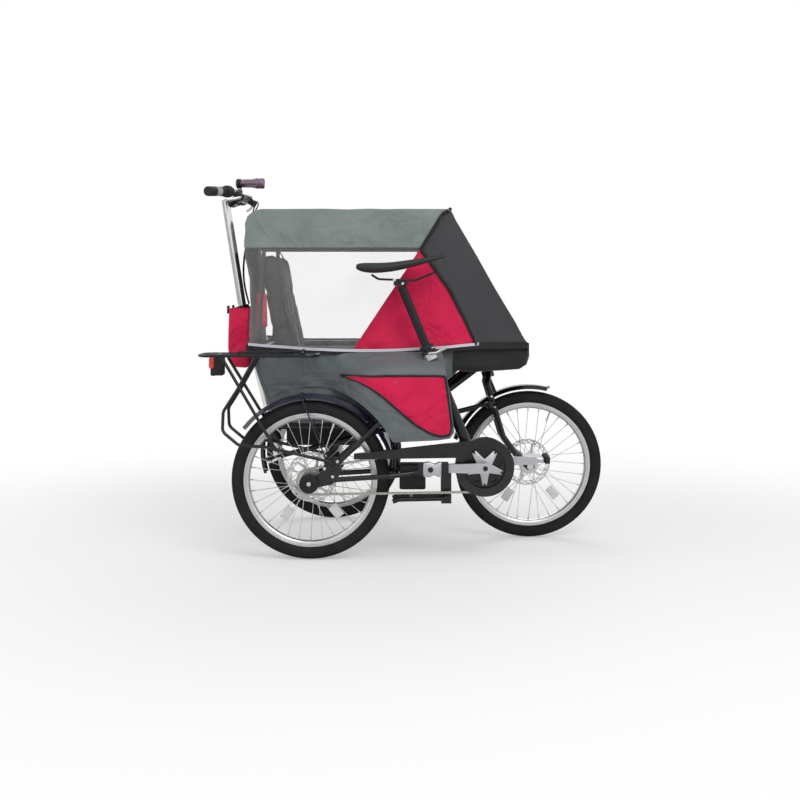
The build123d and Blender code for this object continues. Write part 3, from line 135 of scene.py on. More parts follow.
bpy.ops.object.select_all(action="DESELECT")
bpy.ops.mesh.primitive_plane_add(size=60, location=(0, 0, 0))
floor = bpy.context.active_object
floor.name = "floor"
floor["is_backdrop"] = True
floor_paint = bpy.data.materials.new("floor_paint")
floor_paint.use_nodes = True
ft = floor_paint.node_tree
f_shader = ft.nodes["Principled BSDF"]
f_shader.inputs["Base Color"].default_value = (0.93, 0.93, 0.93, 1)
f_shader.inputs["Roughness"].default_value = 0.9
f_shader.inputs["Specular IOR Level"].default_value = 0.1
f_place = ft.nodes.new("ShaderNodeTexCoord")
f_reach = ft.nodes.new("ShaderNodeVectorMath")
f_reach.operation = "LENGTH"
f_fade = ft.nodes.new("ShaderNodeMapRange")
f_fade.interpolation_type = "SMOOTHSTEP"
f_fade.inputs["From Min"].default_value = 0.9
f_fade.inputs["From Max"].default_value = 2.6
f_fade.inputs["To Min"].default_value = 0.35
f_path = ft.nodes.new("ShaderNodeLightPath")
f_gain = ft.nodes.new("ShaderNodeMath")
f_gain.operation = "MULTIPLY"
f_white = ft.nodes.new("ShaderNodeEmission")
f_mix = ft.nodes.new("ShaderNodeMixShader")
ft.links.new(f_place.outputs["Object"], f_reach.inputs[0])
ft.links.new(f_reach.outputs["Value"], f_fade.inputs["Value"])
ft.links.new(f_fade.outputs["Result"], f_gain.inputs[0])
ft.links.new(f_path.outputs["Is Camera Ray"], f_gain.inputs[1])
ft.links.new(f_gain.outputs[0], f_mix.inputs[0])
ft.links.new(f_shader.outputs[0], f_mix.inputs[1])
ft.links.new(f_white.outputs[0], f_mix.inputs[2])
ft.links.new(f_mix.outputs[0], ft.nodes["Material Output"].inputs["Surface"])
floor.data.materials.append(floor_paint)

# %% [markdown]
# ## Shared effects
# Four effects turn up in most finishes: a woven cloth, the fine orange skin of paint and moulded
# plastic, worn patches, and soft dirt near the ground. Each is one node group with its own
# inputs, which is built once and then placed in a material.

# %% Group helper
def new_group(name, inputs, outputs):
    """An empty node group with float or vector sockets, and its input and output nodes."""
    group = bpy.data.node_groups.new(name, "ShaderNodeTree")
    for label, kind, value in inputs:
        socket = group.interface.new_socket(name=label, in_out="INPUT", socket_type=kind)
        if value is not None:
            socket.default_value = value
    for label, kind in outputs:
        group.interface.new_socket(name=label, in_out="OUTPUT", socket_type=kind)
    return group, group.nodes.new("NodeGroupInput"), group.nodes.new("NodeGroupOutput")


def math_node(tree, operation, first, second=None, clamp=False):
    """A Math node with its inputs linked or set."""
    node = tree.nodes.new("ShaderNodeMath")
    node.operation = operation
    node.use_clamp = clamp
    for socket, value in zip(node.inputs, (first, second)):
        if isinstance(value, (int, float)):
            socket.default_value = value
        elif value is not None:
            tree.links.new(value, socket)
    return node.outputs[0]


# %% [markdown]
# ### Weave
# Plain cloth is two sets of threads that pass over and under each other. Two sine waves give the
# threads, and their product with a half-pitch shift gives the over-and-under. The threads run
# along X and up the panel, with Y folded in so that the roof is woven too.

# %% Weave group
weave, g_in, g_out = new_group(
    "cloth_weave",
    [("Vector", "NodeSocketVector", None), ("Threads", "NodeSocketFloat", 900.0)],
    [("Height", "NodeSocketFloat"), ("Gap", "NodeSocketFloat")],
)
split = weave.nodes.new("ShaderNodeSeparateXYZ")
weave.links.new(g_in.outputs["Vector"], split.inputs[0])
lift = math_node(weave, "ADD", split.outputs["Z"], split.outputs["Y"])
warp = math_node(weave, "MULTIPLY", split.outputs["X"], g_in.outputs["Threads"])
weft = math_node(weave, "MULTIPLY", lift, g_in.outputs["Threads"])
warp_cos = math_node(weave, "COSINE", math_node(weave, "MULTIPLY", warp, 6.2832))
weft_cos = math_node(weave, "COSINE", math_node(weave, "MULTIPLY", weft, 6.2832))
over = math_node(weave, "MULTIPLY", math_node(weave, "COSINE", math_node(weave, "MULTIPLY", warp, 3.1416)), math_node(weave, "COSINE", math_node(weave, "MULTIPLY", weft, 3.1416)))
bumps = math_node(weave, "ADD", math_node(weave, "MULTIPLY", warp_cos, 0.25), math_node(weave, "MULTIPLY", weft_cos, 0.25))
height = math_node(weave, "ADD", bumps, math_node(weave, "MULTIPLY", math_node(weave, "ABSOLUTE", over), 0.5))
weave.links.new(height, g_out.inputs["Height"])
gap = math_node(weave, "MULTIPLY", math_node(weave, "GREATER_THAN", warp_cos, 0.1), math_node(weave, "GREATER_THAN", weft_cos, 0.1))
weave.links.new(gap, g_out.inputs["Gap"])

# %% [markdown]
# ### Skin, patches and ground dirt
# Skin is a fine even noise for bump. Patches are broad soft clouds that change colour and gloss a
# little, as handling does. Ground dirt is a mask that grows towards the floor.

# %% Skin, patches and dirt groups
skin, g_in, g_out = new_group(
    "fine_skin",
    [("Vector", "NodeSocketVector", None), ("Grain", "NodeSocketFloat", 900.0)],
    [("Height", "NodeSocketFloat")],
)
skin_noise = skin.nodes.new("ShaderNodeTexNoise")
skin_noise.inputs["Detail"].default_value = 3.0
skin.links.new(g_in.outputs["Vector"], skin_noise.inputs["Vector"])
skin.links.new(g_in.outputs["Grain"], skin_noise.inputs["Scale"])
skin.links.new(skin_noise.outputs["Fac"], g_out.inputs["Height"])

patches, g_in, g_out = new_group(
    "soft_patches",
    [("Vector", "NodeSocketVector", None), ("Size", "NodeSocketFloat", 9.0)],
    [("Mask", "NodeSocketFloat")],
)
patch_noise = patches.nodes.new("ShaderNodeTexNoise")
patch_noise.inputs["Detail"].default_value = 5.0
patch_noise.inputs["Roughness"].default_value = 0.6
patch_ramp = patches.nodes.new("ShaderNodeMapRange")
patch_ramp.inputs["From Min"].default_value = 0.32
patch_ramp.inputs["From Max"].default_value = 0.7
patches.links.new(g_in.outputs["Vector"], patch_noise.inputs["Vector"])
patches.links.new(g_in.outputs["Size"], patch_noise.inputs["Scale"])
patches.links.new(patch_noise.outputs["Fac"], patch_ramp.inputs["Value"])
patches.links.new(patch_ramp.outputs["Result"], g_out.inputs["Mask"])

dirt, g_in, g_out = new_group(
    "ground_dirt",
    [("Vector", "NodeSocketVector", None), ("Top", "NodeSocketFloat", 0.5)],
    [("Mask", "NodeSocketFloat")],
)
dirt_split = dirt.nodes.new("ShaderNodeSeparateXYZ")
dirt.links.new(g_in.outputs["Vector"], dirt_split.inputs[0])
dirt_low = dirt.nodes.new("ShaderNodeMapRange")
dirt_low.inputs["To Min"].default_value = 1.0
dirt_low.inputs["To Max"].default_value = 0.0
dirt.links.new(dirt_split.outputs["Z"], dirt_low.inputs["Value"])
dirt.links.new(g_in.outputs["Top"], dirt_low.inputs["From Max"])
dirt_noise = dirt.nodes.new("ShaderNodeTexNoise")
dirt_noise.inputs["Scale"].default_value = 60.0
dirt_noise.inputs["Detail"].default_value = 6.0
dirt.links.new(g_in.outputs["Vector"], dirt_noise.inputs["Vector"])
dirt_mask = math_node(dirt, "MULTIPLY", dirt_low.outputs["Result"], dirt_noise.outputs["Fac"])
dirt.links.new(dirt_mask, g_out.inputs["Mask"])
print("groups", [g.name for g in bpy.data.node_groups])

# %% [markdown]
# ## Finishes
# A finish starts from one Principled shader. Its even values are set straight on the shader, and
# what varies over the surface comes from the groups above.

# %% Finish helper
def finish_base(name, colour, roughness, metallic=0.0, **values):
    """A material with its even values set, and its tree, shader and object coordinates."""
    made = bpy.data.materials.new(name)
    made.use_nodes = True
    tree = made.node_tree
    shader = tree.nodes["Principled BSDF"]
    shader.inputs["Base Color"].default_value = (*colour, 1)
    shader.inputs["Roughness"].default_value = roughness
    shader.inputs["Metallic"].default_value = metallic
    for label, value in values.items():
        shader.inputs[label.replace("_", " ")].default_value = value
    place = tree.nodes.new("ShaderNodeTexCoord").outputs["Object"]
    return made, tree, shader, place


def place_group(tree, group, place, **values):
    """The group placed in a material, reading the object coordinates."""
    node = tree.nodes.new("ShaderNodeGroup")
    node.node_tree = group
    tree.links.new(place, node.inputs["Vector"])
    for label, value in values.items():
        node.inputs[label].default_value = value
    return node


def vary_colour(tree, shader, mask, low, high):
    """Base Color goes from low to high with the mask."""
    mix = tree.nodes.new("ShaderNodeMix")
    mix.data_type = "RGBA"
    mix.inputs["A"].default_value = (*low, 1)
    mix.inputs["B"].default_value = (*high, 1)
    tree.links.new(mask, mix.inputs["Factor"])
    tree.links.new(mix.outputs["Result"], shader.inputs["Base Color"])
    return mix


def vary_value(tree, socket, mask, low, high):
    """A socket goes from low to high with the mask."""
    span = tree.nodes.new("ShaderNodeMapRange")
    span.inputs["To Min"].default_value = low
    span.inputs["To Max"].default_value = high
    tree.links.new(mask, span.inputs["Value"])
    tree.links.new(span.outputs["Result"], socket)


def bump(tree, shader, height, depth, strength=1.0, before=None):
    """Bump from a height in metres, after an earlier bump if one is given."""
    node = tree.nodes.new("ShaderNodeBump")
    node.inputs["Distance"].default_value = depth
    node.inputs["Strength"].default_value = strength
    tree.links.new(height, node.inputs["Height"])
    if before is not None:
        tree.links.new(before, node.inputs["Normal"])
    tree.links.new(node.outputs["Normal"], shader.inputs["Normal"])
    return node.outputs["Normal"]


# %% [markdown]
# ### Cloth
# The cabin is coated nylon: crimson, two greys and black. It has a fine weave, a faint sheen, and
# a soft unevenness where it has faded and creased.

# %% Cloth finishes
def cloth(name, low, high, roughness=0.72, threads=1100.0, sheen=0.25):
    """Woven cloth between two colours."""
    made, tree, shader, place = finish_base(name, high, roughness)
    shader.inputs["Sheen Weight"].default_value = sheen
    shader.inputs["Sheen Roughness"].default_value = 0.4
    shader.inputs["Specular IOR Level"].default_value = 0.3
    woven = place_group(tree, weave, place, Threads=threads)
    cloud = place_group(tree, patches, place, Size=7.0)
    vary_colour(tree, shader, cloud.outputs["Mask"], low, high)
    vary_value(tree, shader.inputs["Roughness"], cloud.outputs["Mask"], roughness - 0.08, roughness + 0.06)
    first = bump(tree, shader, woven.outputs["Height"], 0.0002, 0.5)
    fold = tree.nodes.new("ShaderNodeTexNoise")
    fold.inputs["Scale"].default_value = 9.0
    fold.inputs["Detail"].default_value = 2.5
    fold.inputs["Distortion"].default_value = 1.3
    tree.links.new(place, fold.inputs["Vector"])
    second = bump(tree, shader, fold.outputs["Fac"], 0.024, 0.7, first)
    pull = tree.nodes.new("ShaderNodeTexWave")
    pull.bands_direction = "DIAGONAL"
    pull.inputs["Scale"].default_value = 2.6
    pull.inputs["Distortion"].default_value = 9.0
    pull.inputs["Detail"].default_value = 2.0
    pull.inputs["Detail Scale"].default_value = 1.1
    tree.links.new(place, pull.inputs["Vector"])
    bump(tree, shader, pull.outputs["Fac"], 0.010, 0.55, second)
    return made


red_cloth = cloth("red_cloth", (0.54, 0.002, 0.048), (0.70, 0.006, 0.075), 0.6)
roof_cloth = cloth("roof_cloth", (0.170, 0.205, 0.197), (0.235, 0.275, 0.265), 0.58)
side_cloth = cloth("side_cloth", (0.100, 0.116, 0.122), (0.150, 0.168, 0.175), 0.52)
black_cloth = cloth("black_cloth", (0.009, 0.0095, 0.010), (0.015, 0.0155, 0.016), 0.7)
pad_cloth = cloth("pad_cloth", (0.014, 0.015, 0.018), (0.024, 0.026, 0.030), 0.8, 700.0)

# %% [markdown]
# ### Mesh, film and reflective tape
# The nose is closed by a dark mesh: the same weave group cuts real holes in it through Alpha. The
# windows are thin milky film. The tape round the rim is silver with a fine square grain.

# %% Mesh, film and tape
mesh_cloth, tree, shader, place = finish_base("mesh_cloth", (0.035, 0.036, 0.04), 0.6)
woven = place_group(tree, weave, place, Threads=360.0)
tree.links.new(math_node(tree, "SUBTRACT", 1.0, math_node(tree, "MULTIPLY", woven.outputs["Gap"], 0.6)), shader.inputs["Alpha"])
bump(tree, shader, woven.outputs["Height"], 0.0004, 0.6)

clear_film, tree, shader, place = finish_base("clear_film", (0.93, 0.92, 0.91), 0.22)
shader.inputs["IOR"].default_value = 1.45
ripple = tree.nodes.new("ShaderNodeTexNoise")
ripple.inputs["Scale"].default_value = 9.0
ripple.inputs["Detail"].default_value = 2.0
tree.links.new(place, ripple.inputs["Vector"])
bump(tree, shader, ripple.outputs["Fac"], 0.004, 0.5)
vary_value(tree, shader.inputs["Alpha"], ripple.outputs["Fac"], 0.04, 0.08)

silver_tape, tree, shader, place = finish_base("silver_tape", (0.62, 0.61, 0.68), 0.38, 0.35)
woven = place_group(tree, weave, place, Threads=1500.0)
bump(tree, shader, woven.outputs["Height"], 0.0002, 0.6)

# %% [markdown]
# ### Metals, plastic and rubber
# Frame, fork and rack are gloss black enamel with a cold blue cast in the highlights. The pole is
# chrome. Rims, hubs and cranks are brushed alloy. The discs and chain are steel. The tyres are
# matt rubber in soft patches of slightly lighter and darker black.

# %% Hard finishes
def enamel(name, colour, roughness=0.22):
    """Gloss enamel with a faint orange skin and dusty lower parts."""
    made, tree, shader, place = finish_base(name, colour, roughness)
    shader.inputs["Specular IOR Level"].default_value = 0.3
    shader.inputs["Coat Weight"].default_value = 0.15
    shader.inputs["Coat Roughness"].default_value = 0.08
    grain = place_group(tree, skin, place, Grain=420.0)
    dust = place_group(tree, dirt, place, Top=0.45)
    vary_colour(tree, shader, dust.outputs["Mask"], colour, tuple(0.05 + 1.1 * c for c in colour))
    cloud = place_group(tree, patches, place, Size=18.0)
    vary_value(tree, shader.inputs["Roughness"], cloud.outputs["Mask"], roughness - 0.05, roughness + 0.12)
    bump(tree, shader, grain.outputs["Height"], 0.00012, 0.35)
    return made


def bare_metal(name, colour, roughness, stretch=(1, 1, 1), grain_size=500.0, depth=0.0001):
    """Bare metal with a fine drawn or turned grain."""
    made, tree, shader, place = finish_base(name, colour, roughness, 1.0)
    turn = tree.nodes.new("ShaderNodeMapping")
    turn.inputs["Scale"].default_value = stretch
    tree.links.new(place, turn.inputs["Vector"])
    grain = place_group(tree, skin, turn.outputs["Vector"], Grain=grain_size)
    cloud = place_group(tree, patches, place, Size=25.0)
    vary_value(tree, shader.inputs["Roughness"], cloud.outputs["Mask"], roughness - 0.06, roughness + 0.1)
    vary_colour(tree, shader, cloud.outputs["Mask"], tuple(0.9 * c for c in colour), colour)
    bump(tree, shader, grain.outputs["Height"], depth, 0.3)
    return made


def moulded(name, colour, roughness, grain_size=1400.0, depth=0.0002):
    """Moulded plastic or rubber with a fine texture."""
    made, tree, shader, place = finish_base(name, colour, roughness)
    shader.inputs["Specular IOR Level"].default_value = 0.25
    grain = place_group(tree, skin, place, Grain=grain_size)
    cloud = place_group(tree, patches, place, Size=22.0)
    vary_colour(tree, shader, cloud.outputs["Mask"], tuple(0.85 * c for c in colour), tuple(1.15 * c + 0.002 for c in colour))
    vary_value(tree, shader.inputs["Roughness"], cloud.outputs["Mask"], roughness - 0.06, roughness + 0.08)
    bump(tree, shader, grain.outputs["Height"], depth, 0.5)
    return made


black_enamel = enamel("black_enamel", (0.005, 0.005, 0.007))
guard_blue = enamel("guard_blue", (0.012, 0.010, 0.026), 0.18)
chrome = bare_metal("chrome", (0.80, 0.78, 0.77), 0.10, (1, 1, 0.05), 300.0, 0.00005)
alloy = bare_metal("alloy", (0.60, 0.60, 0.61), 0.30, (1, 1, 1), 900.0)
cast_silver = bare_metal("cast_silver", (0.50, 0.50, 0.52), 0.38, (1, 1, 1), 1200.0, 0.0002)
steel = bare_metal("steel", (0.62, 0.61, 0.60), 0.28)
chain_steel = bare_metal("chain_steel", (0.42, 0.40, 0.37), 0.36)
dark_steel = bare_metal("dark_steel", (0.040, 0.040, 0.043), 0.34)
black_plastic = moulded("black_plastic", (0.014, 0.014, 0.015), 0.46)
hard_rubber = moulded("hard_rubber", (0.020, 0.020, 0.022), 0.66)
grip_grey = moulded("grip_grey", (0.36, 0.38, 0.34), 0.62)
saddle_skin = moulded("saddle_skin", (0.022, 0.022, 0.021), 0.42, 900.0, 0.0004)
lamp_purple = bare_metal("lamp_purple", (0.23, 0.16, 0.22), 0.30)

tyre_rubber, tree, shader, place = finish_base("tyre_rubber", (0.014, 0.0145, 0.016), 0.78)
shader.inputs["Specular IOR Level"].default_value = 0.2
grain = place_group(tree, skin, place, Grain=700.0)
cloud = place_group(tree, patches, place, Size=16.0)
vary_colour(tree, shader, cloud.outputs["Mask"], (0.011, 0.0115, 0.0125), (0.020, 0.0205, 0.0225))
bump(tree, shader, grain.outputs["Height"], 0.0003, 0.5)

red_lens, tree, shader, place = finish_base("red_lens", (0.75, 0.05, 0.02), 0.12)
shader.inputs["Coat Weight"].default_value = 0.7
cells = tree.nodes.new("ShaderNodeTexVoronoi")
cells.inputs["Scale"].default_value = 260.0
tree.links.new(place, cells.inputs["Vector"])
bump(tree, shader, cells.outputs["Distance"], 0.001, 0.6)
vary_colour(tree, shader, cells.outputs["Distance"], (0.80, 0.06, 0.02), (0.45, 0.01, 0.01))

clear_mark, tree, shader, place = finish_base("clear_mark", (0.72, 0.73, 0.74), 0.15)
cells = tree.nodes.new("ShaderNodeTexVoronoi")
cells.inputs["Scale"].default_value = 420.0
tree.links.new(place, cells.inputs["Vector"])
bump(tree, shader, cells.outputs["Distance"], 0.0006, 0.5)
vary_colour(tree, shader, cells.outputs["Distance"], (0.78, 0.79, 0.80), (0.55, 0.56, 0.58))

# %% [markdown]
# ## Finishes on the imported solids
# Each solid that is already the right shape keeps its mesh and only gets its finish.

# %% Finish the solids
SOLID_FINISH = {
    black_enamel: "seat_post drive_axle chassis_frame drive_frame rack fork front_mudguard left_mudguard drag_link hoops chain_guard pole_clamp",
    guard_blue: "drive_mudguard",
    chrome: "steering_column",
    dark_steel: "handlebar kickstand",
    alloy: "front_rim drive_rim left_rim front_hub left_hub front_axle brake_levers seat_clamp",
    cast_silver: "crank_arms",
    steel: "front_rotor drive_rotor chainring sprocket",
    chain_steel: "chain",
    black_plastic: "controller_box battery front_caliper tail_lamp drive_hub",
    lamp_purple: "headlamp",
    hard_rubber: "grips right_pedal left_pedal",
    saddle_skin: "saddle",
    tyre_rubber: "front_tyre drive_tyre left_tyre",
    red_cloth: "red_panels quarter_panels rear_pocket",
    roof_cloth: "canopy_roof",
    side_cloth: "right_pod left_pod tub",
    black_cloth: "nose rim_band canopy_back",
    pad_cloth: "seat_back seat_cushion",
    mesh_cloth: "canopy_mesh",
    clear_film: "windows",
}
for finish, names in SOLID_FINISH.items():
    for name in names.split():
        node = nodes[name]
        node.data.materials.clear()
        node.data.materials.append(finish)
print("finished", sum(len(v.split()) for v in SOLID_FINISH.values()), "of", len(nodes), "solids")

# %% [markdown]
# ## The cabin's outer cloth
# The cabin is one sheet of cloth over two hoops. A side outline is filled, extruded across the
# cabin and rounded along its shoulders. It is then cut into a fine grid, so that the cloth can
# lean, taper and crease. A grid of cuts keeps the seams straight, which a remesh would not.

# %% Cabin sizes
TUB_HALF = 0.270
CANOPY_HALF = 0.284
CANOPY_LEAN = 0.040
NOSE_HALF = 0.205
POD_HALF = 0.400
RIM_Z = 0.668
EAVES_Z = 0.985
ROOF_Z = 1.110
HOOP_X = 0.134
NOSE_X = 0.392
REAR_X = -0.512
TUB_FLOOR_Z = 0.420
NOSE_FLOOR_Z = 0.592
WHEEL_R = 0.250
DRIVE_X, FRONT_X, LEFT_X = -0.310, 0.413, -0.270
LEFT_Y = 0.369
PIPE_TOP = (0.110, 1.094)
PIPE_BEND = (0.039, 0.979)
PIPE_MIDDLE = (0.132, 0.848)
PIPE_LOW = (0.212, 0.687)
QUARTER_LOW = (-0.166, 0.672)


# %% Modelling helpers
def start_clean():
    """Object mode with nothing selected."""
    if bpy.context.object and bpy.context.object.mode != "OBJECT":
        bpy.ops.object.mode_set(mode="OBJECT")
    bpy.ops.object.select_all(action="DESELECT")


def take(piece):
    """Makes one piece the only selected and active one."""
    start_clean()
    piece.select_set(True)
    bpy.context.view_layer.objects.active = piece


def plate(name, outline, y_low, y_high):
    """A side outline filled and extruded across from one Y to another."""
    start_clean()
    bpy.ops.mesh.primitive_circle_add(vertices=len(outline), radius=1.0, fill_type="NGON")
    made = bpy.context.active_object
    made.name = name
    for vertex, (x, z) in zip(made.data.vertices, outline):
        vertex.co = (x, y_low, z)
    bpy.ops.object.mode_set(mode="EDIT")
    bpy.ops.mesh.select_all(action="SELECT")
    bpy.ops.mesh.extrude_region_move(TRANSFORM_OT_translate={"value": (0, y_high - y_low, 0)})
    bpy.ops.mesh.select_all(action="SELECT")
    bpy.ops.mesh.normals_make_consistent(inside=False)
    bpy.ops.object.mode_set(mode="OBJECT")
    return made


def pick_faces(piece, wanted):
    """Selects the faces whose centre and normal pass the test, and goes to edit mode."""
    take(piece)
    bpy.ops.object.mode_set(mode="EDIT")
    bpy.ops.mesh.select_mode(type="FACE")
    bpy.ops.mesh.select_all(action="DESELECT")
    bpy.ops.object.mode_set(mode="OBJECT")
    for face in piece.data.polygons:
        face.select = wanted(face.center, face.normal)
    bpy.ops.object.mode_set(mode="EDIT")


def drop_faces(piece, wanted):
    """Deletes the faces that pass the test."""
    pick_faces(piece, wanted)
    bpy.ops.mesh.delete(type="FACE")
    bpy.ops.object.mode_set(mode="OBJECT")


def round_edges(piece, wanted, width, steps=3):
    """Bevels the edges whose two ends both pass the test."""
    take(piece)
    bpy.ops.object.mode_set(mode="EDIT")
    bpy.ops.mesh.select_mode(type="EDGE")
    bpy.ops.mesh.select_all(action="DESELECT")
    bpy.ops.object.mode_set(mode="OBJECT")
    points = piece.data.vertices
    for edge in piece.data.edges:
        edge.select = wanted(points[edge.vertices[0]].co, points[edge.vertices[1]].co)
    bpy.ops.object.mode_set(mode="EDIT")
    bpy.ops.mesh.bevel(offset=width, offset_type="OFFSET", segments=steps, affect="EDGES", clamp_overlap=True)
    bpy.ops.object.mode_set(mode="OBJECT")


def cut_grid(piece, x_step, y_step, z_step):
    """Cuts a piece by even planes along each axis whose step isn't zero."""
    take(piece)
    corners = [Vector(c) for c in piece.bound_box]
    bpy.ops.object.mode_set(mode="EDIT")
    for axis, step in enumerate((x_step, y_step, z_step)):
        if not step:
            continue
        low = min(c[axis] for c in corners)
        high = max(c[axis] for c in corners)
        count = max(1, round((high - low) / step))
        normal = [0, 0, 0]
        normal[axis] = 1
        for k in range(1, count):
            place = [0, 0, 0]
            place[axis] = low + (high - low) * k / count
            bpy.ops.mesh.select_all(action="SELECT")
            bpy.ops.mesh.bisect(plane_co=place, plane_no=normal)
    bpy.ops.object.mode_set(mode="OBJECT")


def cut_seam(piece, start, end):
    """Cuts a piece by the plane that holds a side-view line."""
    take(piece)
    bpy.ops.object.mode_set(mode="EDIT")
    bpy.ops.mesh.select_all(action="SELECT")
    normal = (end[1] - start[1], 0, start[0] - end[0])
    bpy.ops.mesh.bisect(plane_co=(start[0], 0, start[1]), plane_no=normal)
    bpy.ops.object.mode_set(mode="OBJECT")


def merge_points(piece, reach=0.0012):
    """Merges points that lie together and points the faces outwards."""
    take(piece)
    bpy.ops.object.mode_set(mode="EDIT")
    bpy.ops.mesh.select_all(action="SELECT")
    bpy.ops.mesh.remove_doubles(threshold=reach)
    bpy.ops.object.mode_set(mode="OBJECT")


def recalculate(piece):
    """Points the faces of a closed or open shell outwards."""
    take(piece)
    bpy.ops.object.mode_set(mode="EDIT")
    bpy.ops.mesh.select_all(action="SELECT")
    bpy.ops.mesh.normals_make_consistent(inside=False)
    bpy.ops.object.mode_set(mode="OBJECT")


def thicken(piece, wall, offset=-1.0):
    """Gives a sheet its thickness, inwards."""
    take(piece)
    wall_step = piece.modifiers.new("wall", "SOLIDIFY")
    wall_step.thickness = wall
    wall_step.offset = offset
    bpy.ops.object.modifier_apply(modifier=wall_step.name)


def smooth_shade(piece, degrees=35):
    """Smooth shading, with edges sharper than the angle left crisp."""
    take(piece)
    bpy.ops.object.shade_smooth_by_angle(angle=math.radians(degrees))


def finish_piece(piece, material, body, slot, *replaced):
    """Gives a piece its material and body, and hides the solids that it stands for."""
    piece.data.materials.clear()
    piece.data.materials.append(material)
    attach(piece, body)
    if replaced:
        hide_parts(*replaced)
    return piece


def copy_of(piece, name):
    """A copy of a piece with its own mesh."""
    made = piece.copy()
    made.data = piece.data.copy()
    made.name = name
    bpy.context.scene.collection.objects.link(made)
    return made


def cord_mesh(name, points, radius, smooth=True, sides=6):
    """A round tube through the points, as a mesh."""
    line = bpy.data.curves.new(name, "CURVE")
    line.dimensions = "3D"
    line.bevel_depth = radius
    line.bevel_resolution = max(0, sides // 2 - 2)
    line.use_fill_caps = True
    spline = line.splines.new("NURBS" if smooth else "POLY")
    spline.points.add(len(points) - 1)
    for point, at in zip(spline.points, points):
        point.co = (*at, 1)
    if smooth:
        spline.order_u = 3
        spline.use_endpoint_u = True
        spline.resolution_u = 6
    made = bpy.data.objects.new(name, line)
    bpy.context.scene.collection.objects.link(made)
    take(made)
    bpy.ops.object.convert(target="MESH")
    smooth_shade(made, 60)
    return made


def join_all(name, pieces):
    """Joins pieces into the first of them."""
    start_clean()
    for piece in pieces:
        piece.select_set(True)
    bpy.context.view_layer.objects.active = pieces[0]
    if len(pieces) > 1:
        bpy.ops.object.join()
    pieces[0].name = name
    return pieces[0]


# %% [markdown]
# ### Creases
# Cloth under tension folds in long soft ridges that run along the pull. Stretched noise gives
# them: slow along the pull, quick across it. Near a seam the folds fade out.

# %% Crease helpers
def crease(x, z, pull, long_scale=3.0, cross_scale=22.0, seed=0.0):
    """A soft ridge height from -1 to 1, with ridges along the pull angle in the side view."""
    along_pull = x * math.cos(pull) + z * math.sin(pull)
    across = -x * math.sin(pull) + z * math.cos(pull)
    return noise.noise(Vector((along_pull * long_scale, across * cross_scale, seed)))


def line_distance(x, z, start, end):
    """How far a side-view point is from a line between two points."""
    run = Vector((end[0] - start[0], end[1] - start[1]))
    off = Vector((x - start[0], z - start[1]))
    share = max(0.0, min(1.0, off.dot(run) / run.length_squared))
    return (off - run * share).length


def fade(distance, reach):
    """0 at a seam, 1 from the reach on, smooth between."""
    t = max(0.0, min(1.0, distance / reach))
    return t * t * (3 - 2 * t)


def drape(piece, push):
    """Moves each point along its normal by push(point)."""
    moves = [vertex.normal.copy() * push(vertex.co) for vertex in piece.data.vertices]
    for vertex, move in zip(piece.data.vertices, moves):
        vertex.co += move


# %% [markdown]
# ### Canopy
# The canopy's side outline leans back a little behind the rear hoop. Its width narrows towards the
# nose and leans in towards the roof. The roof sags between the hoops, and the film and the
# red quarter carry soft creases.

# %% Canopy form
CANOPY_OUTLINE = [
    (REAR_X, RIM_Z - 0.012),
    (REAR_X - 0.002, 0.790),
    (REAR_X - 0.018, 0.950),
    (REAR_X - 0.018, 1.062),
    (REAR_X - 0.010, 1.086),
    (REAR_X + 0.008, 1.102),
    (REAR_X + 0.034, ROOF_Z),
    (HOOP_X, ROOF_Z),
    (0.280, 0.861),
    (0.352, 0.744),
    (NOSE_X, RIM_Z),
    (NOSE_X, RIM_Z - 0.012),
]


def cabin_half(x, z, half, lean):
    """The cabin's half width at a place: full to the hoop, narrowing to the nose, leaning in."""
    width = half
    if x > HOOP_X:
        width = half + (NOSE_HALF + half - CANOPY_HALF - half) * (x - HOOP_X) / (NOSE_X - HOOP_X)
    if z > RIM_Z:
        width = min(width, half - lean * (z - RIM_Z) / (ROOF_Z - RIM_Z))
    return width


def spread(piece, half, lean, base):
    """Scales the width of each point from the base half width to the cabin's width there."""
    for vertex in piece.data.vertices:
        off = vertex.co.y - CABIN_Y
        vertex.co.y = CABIN_Y + off / base * cabin_half(vertex.co.x, vertex.co.z, half, lean)


canopy = plate("canopy_form", CANOPY_OUTLINE, CABIN_Y - CANOPY_HALF, CABIN_Y + CANOPY_HALF)
drop_faces(canopy, lambda c, n: n.z < -0.9)
round_edges(
    canopy,
    lambda a, b: abs(a.y - b.y) < 0.001 and (a - b).length > 0.001 and not (a.z < RIM_Z and b.z < RIM_Z),
    0.022,
    4,
)
SEAMS = [
    (PIPE_TOP, PIPE_BEND),
    (PIPE_BEND, PIPE_MIDDLE),
    (PIPE_MIDDLE, PIPE_LOW),
    (PIPE_BEND, QUARTER_LOW),
    ((REAR_X, EAVES_Z), (PIPE_BEND[0], EAVES_Z)),
    (PIPE_TOP, (HOOP_X, ROOF_Z + 0.0005)),
]
cut_grid(canopy, 0.017, 0.020, 0.017)
for seam_start, seam_end in SEAMS:
    cut_seam(canopy, seam_start, seam_end)
merge_points(canopy, 0.0008)
spread(canopy, CANOPY_HALF, CANOPY_LEAN, CANOPY_HALF)
print("canopy form", len(canopy.data.polygons), "faces")


# %% [markdown]
# Each panel pulls its own way: the roof's skirt hangs in slanting folds from the rear hoop, the red
# quarter is pulled between its three corners, and the nose net bows between its edges.

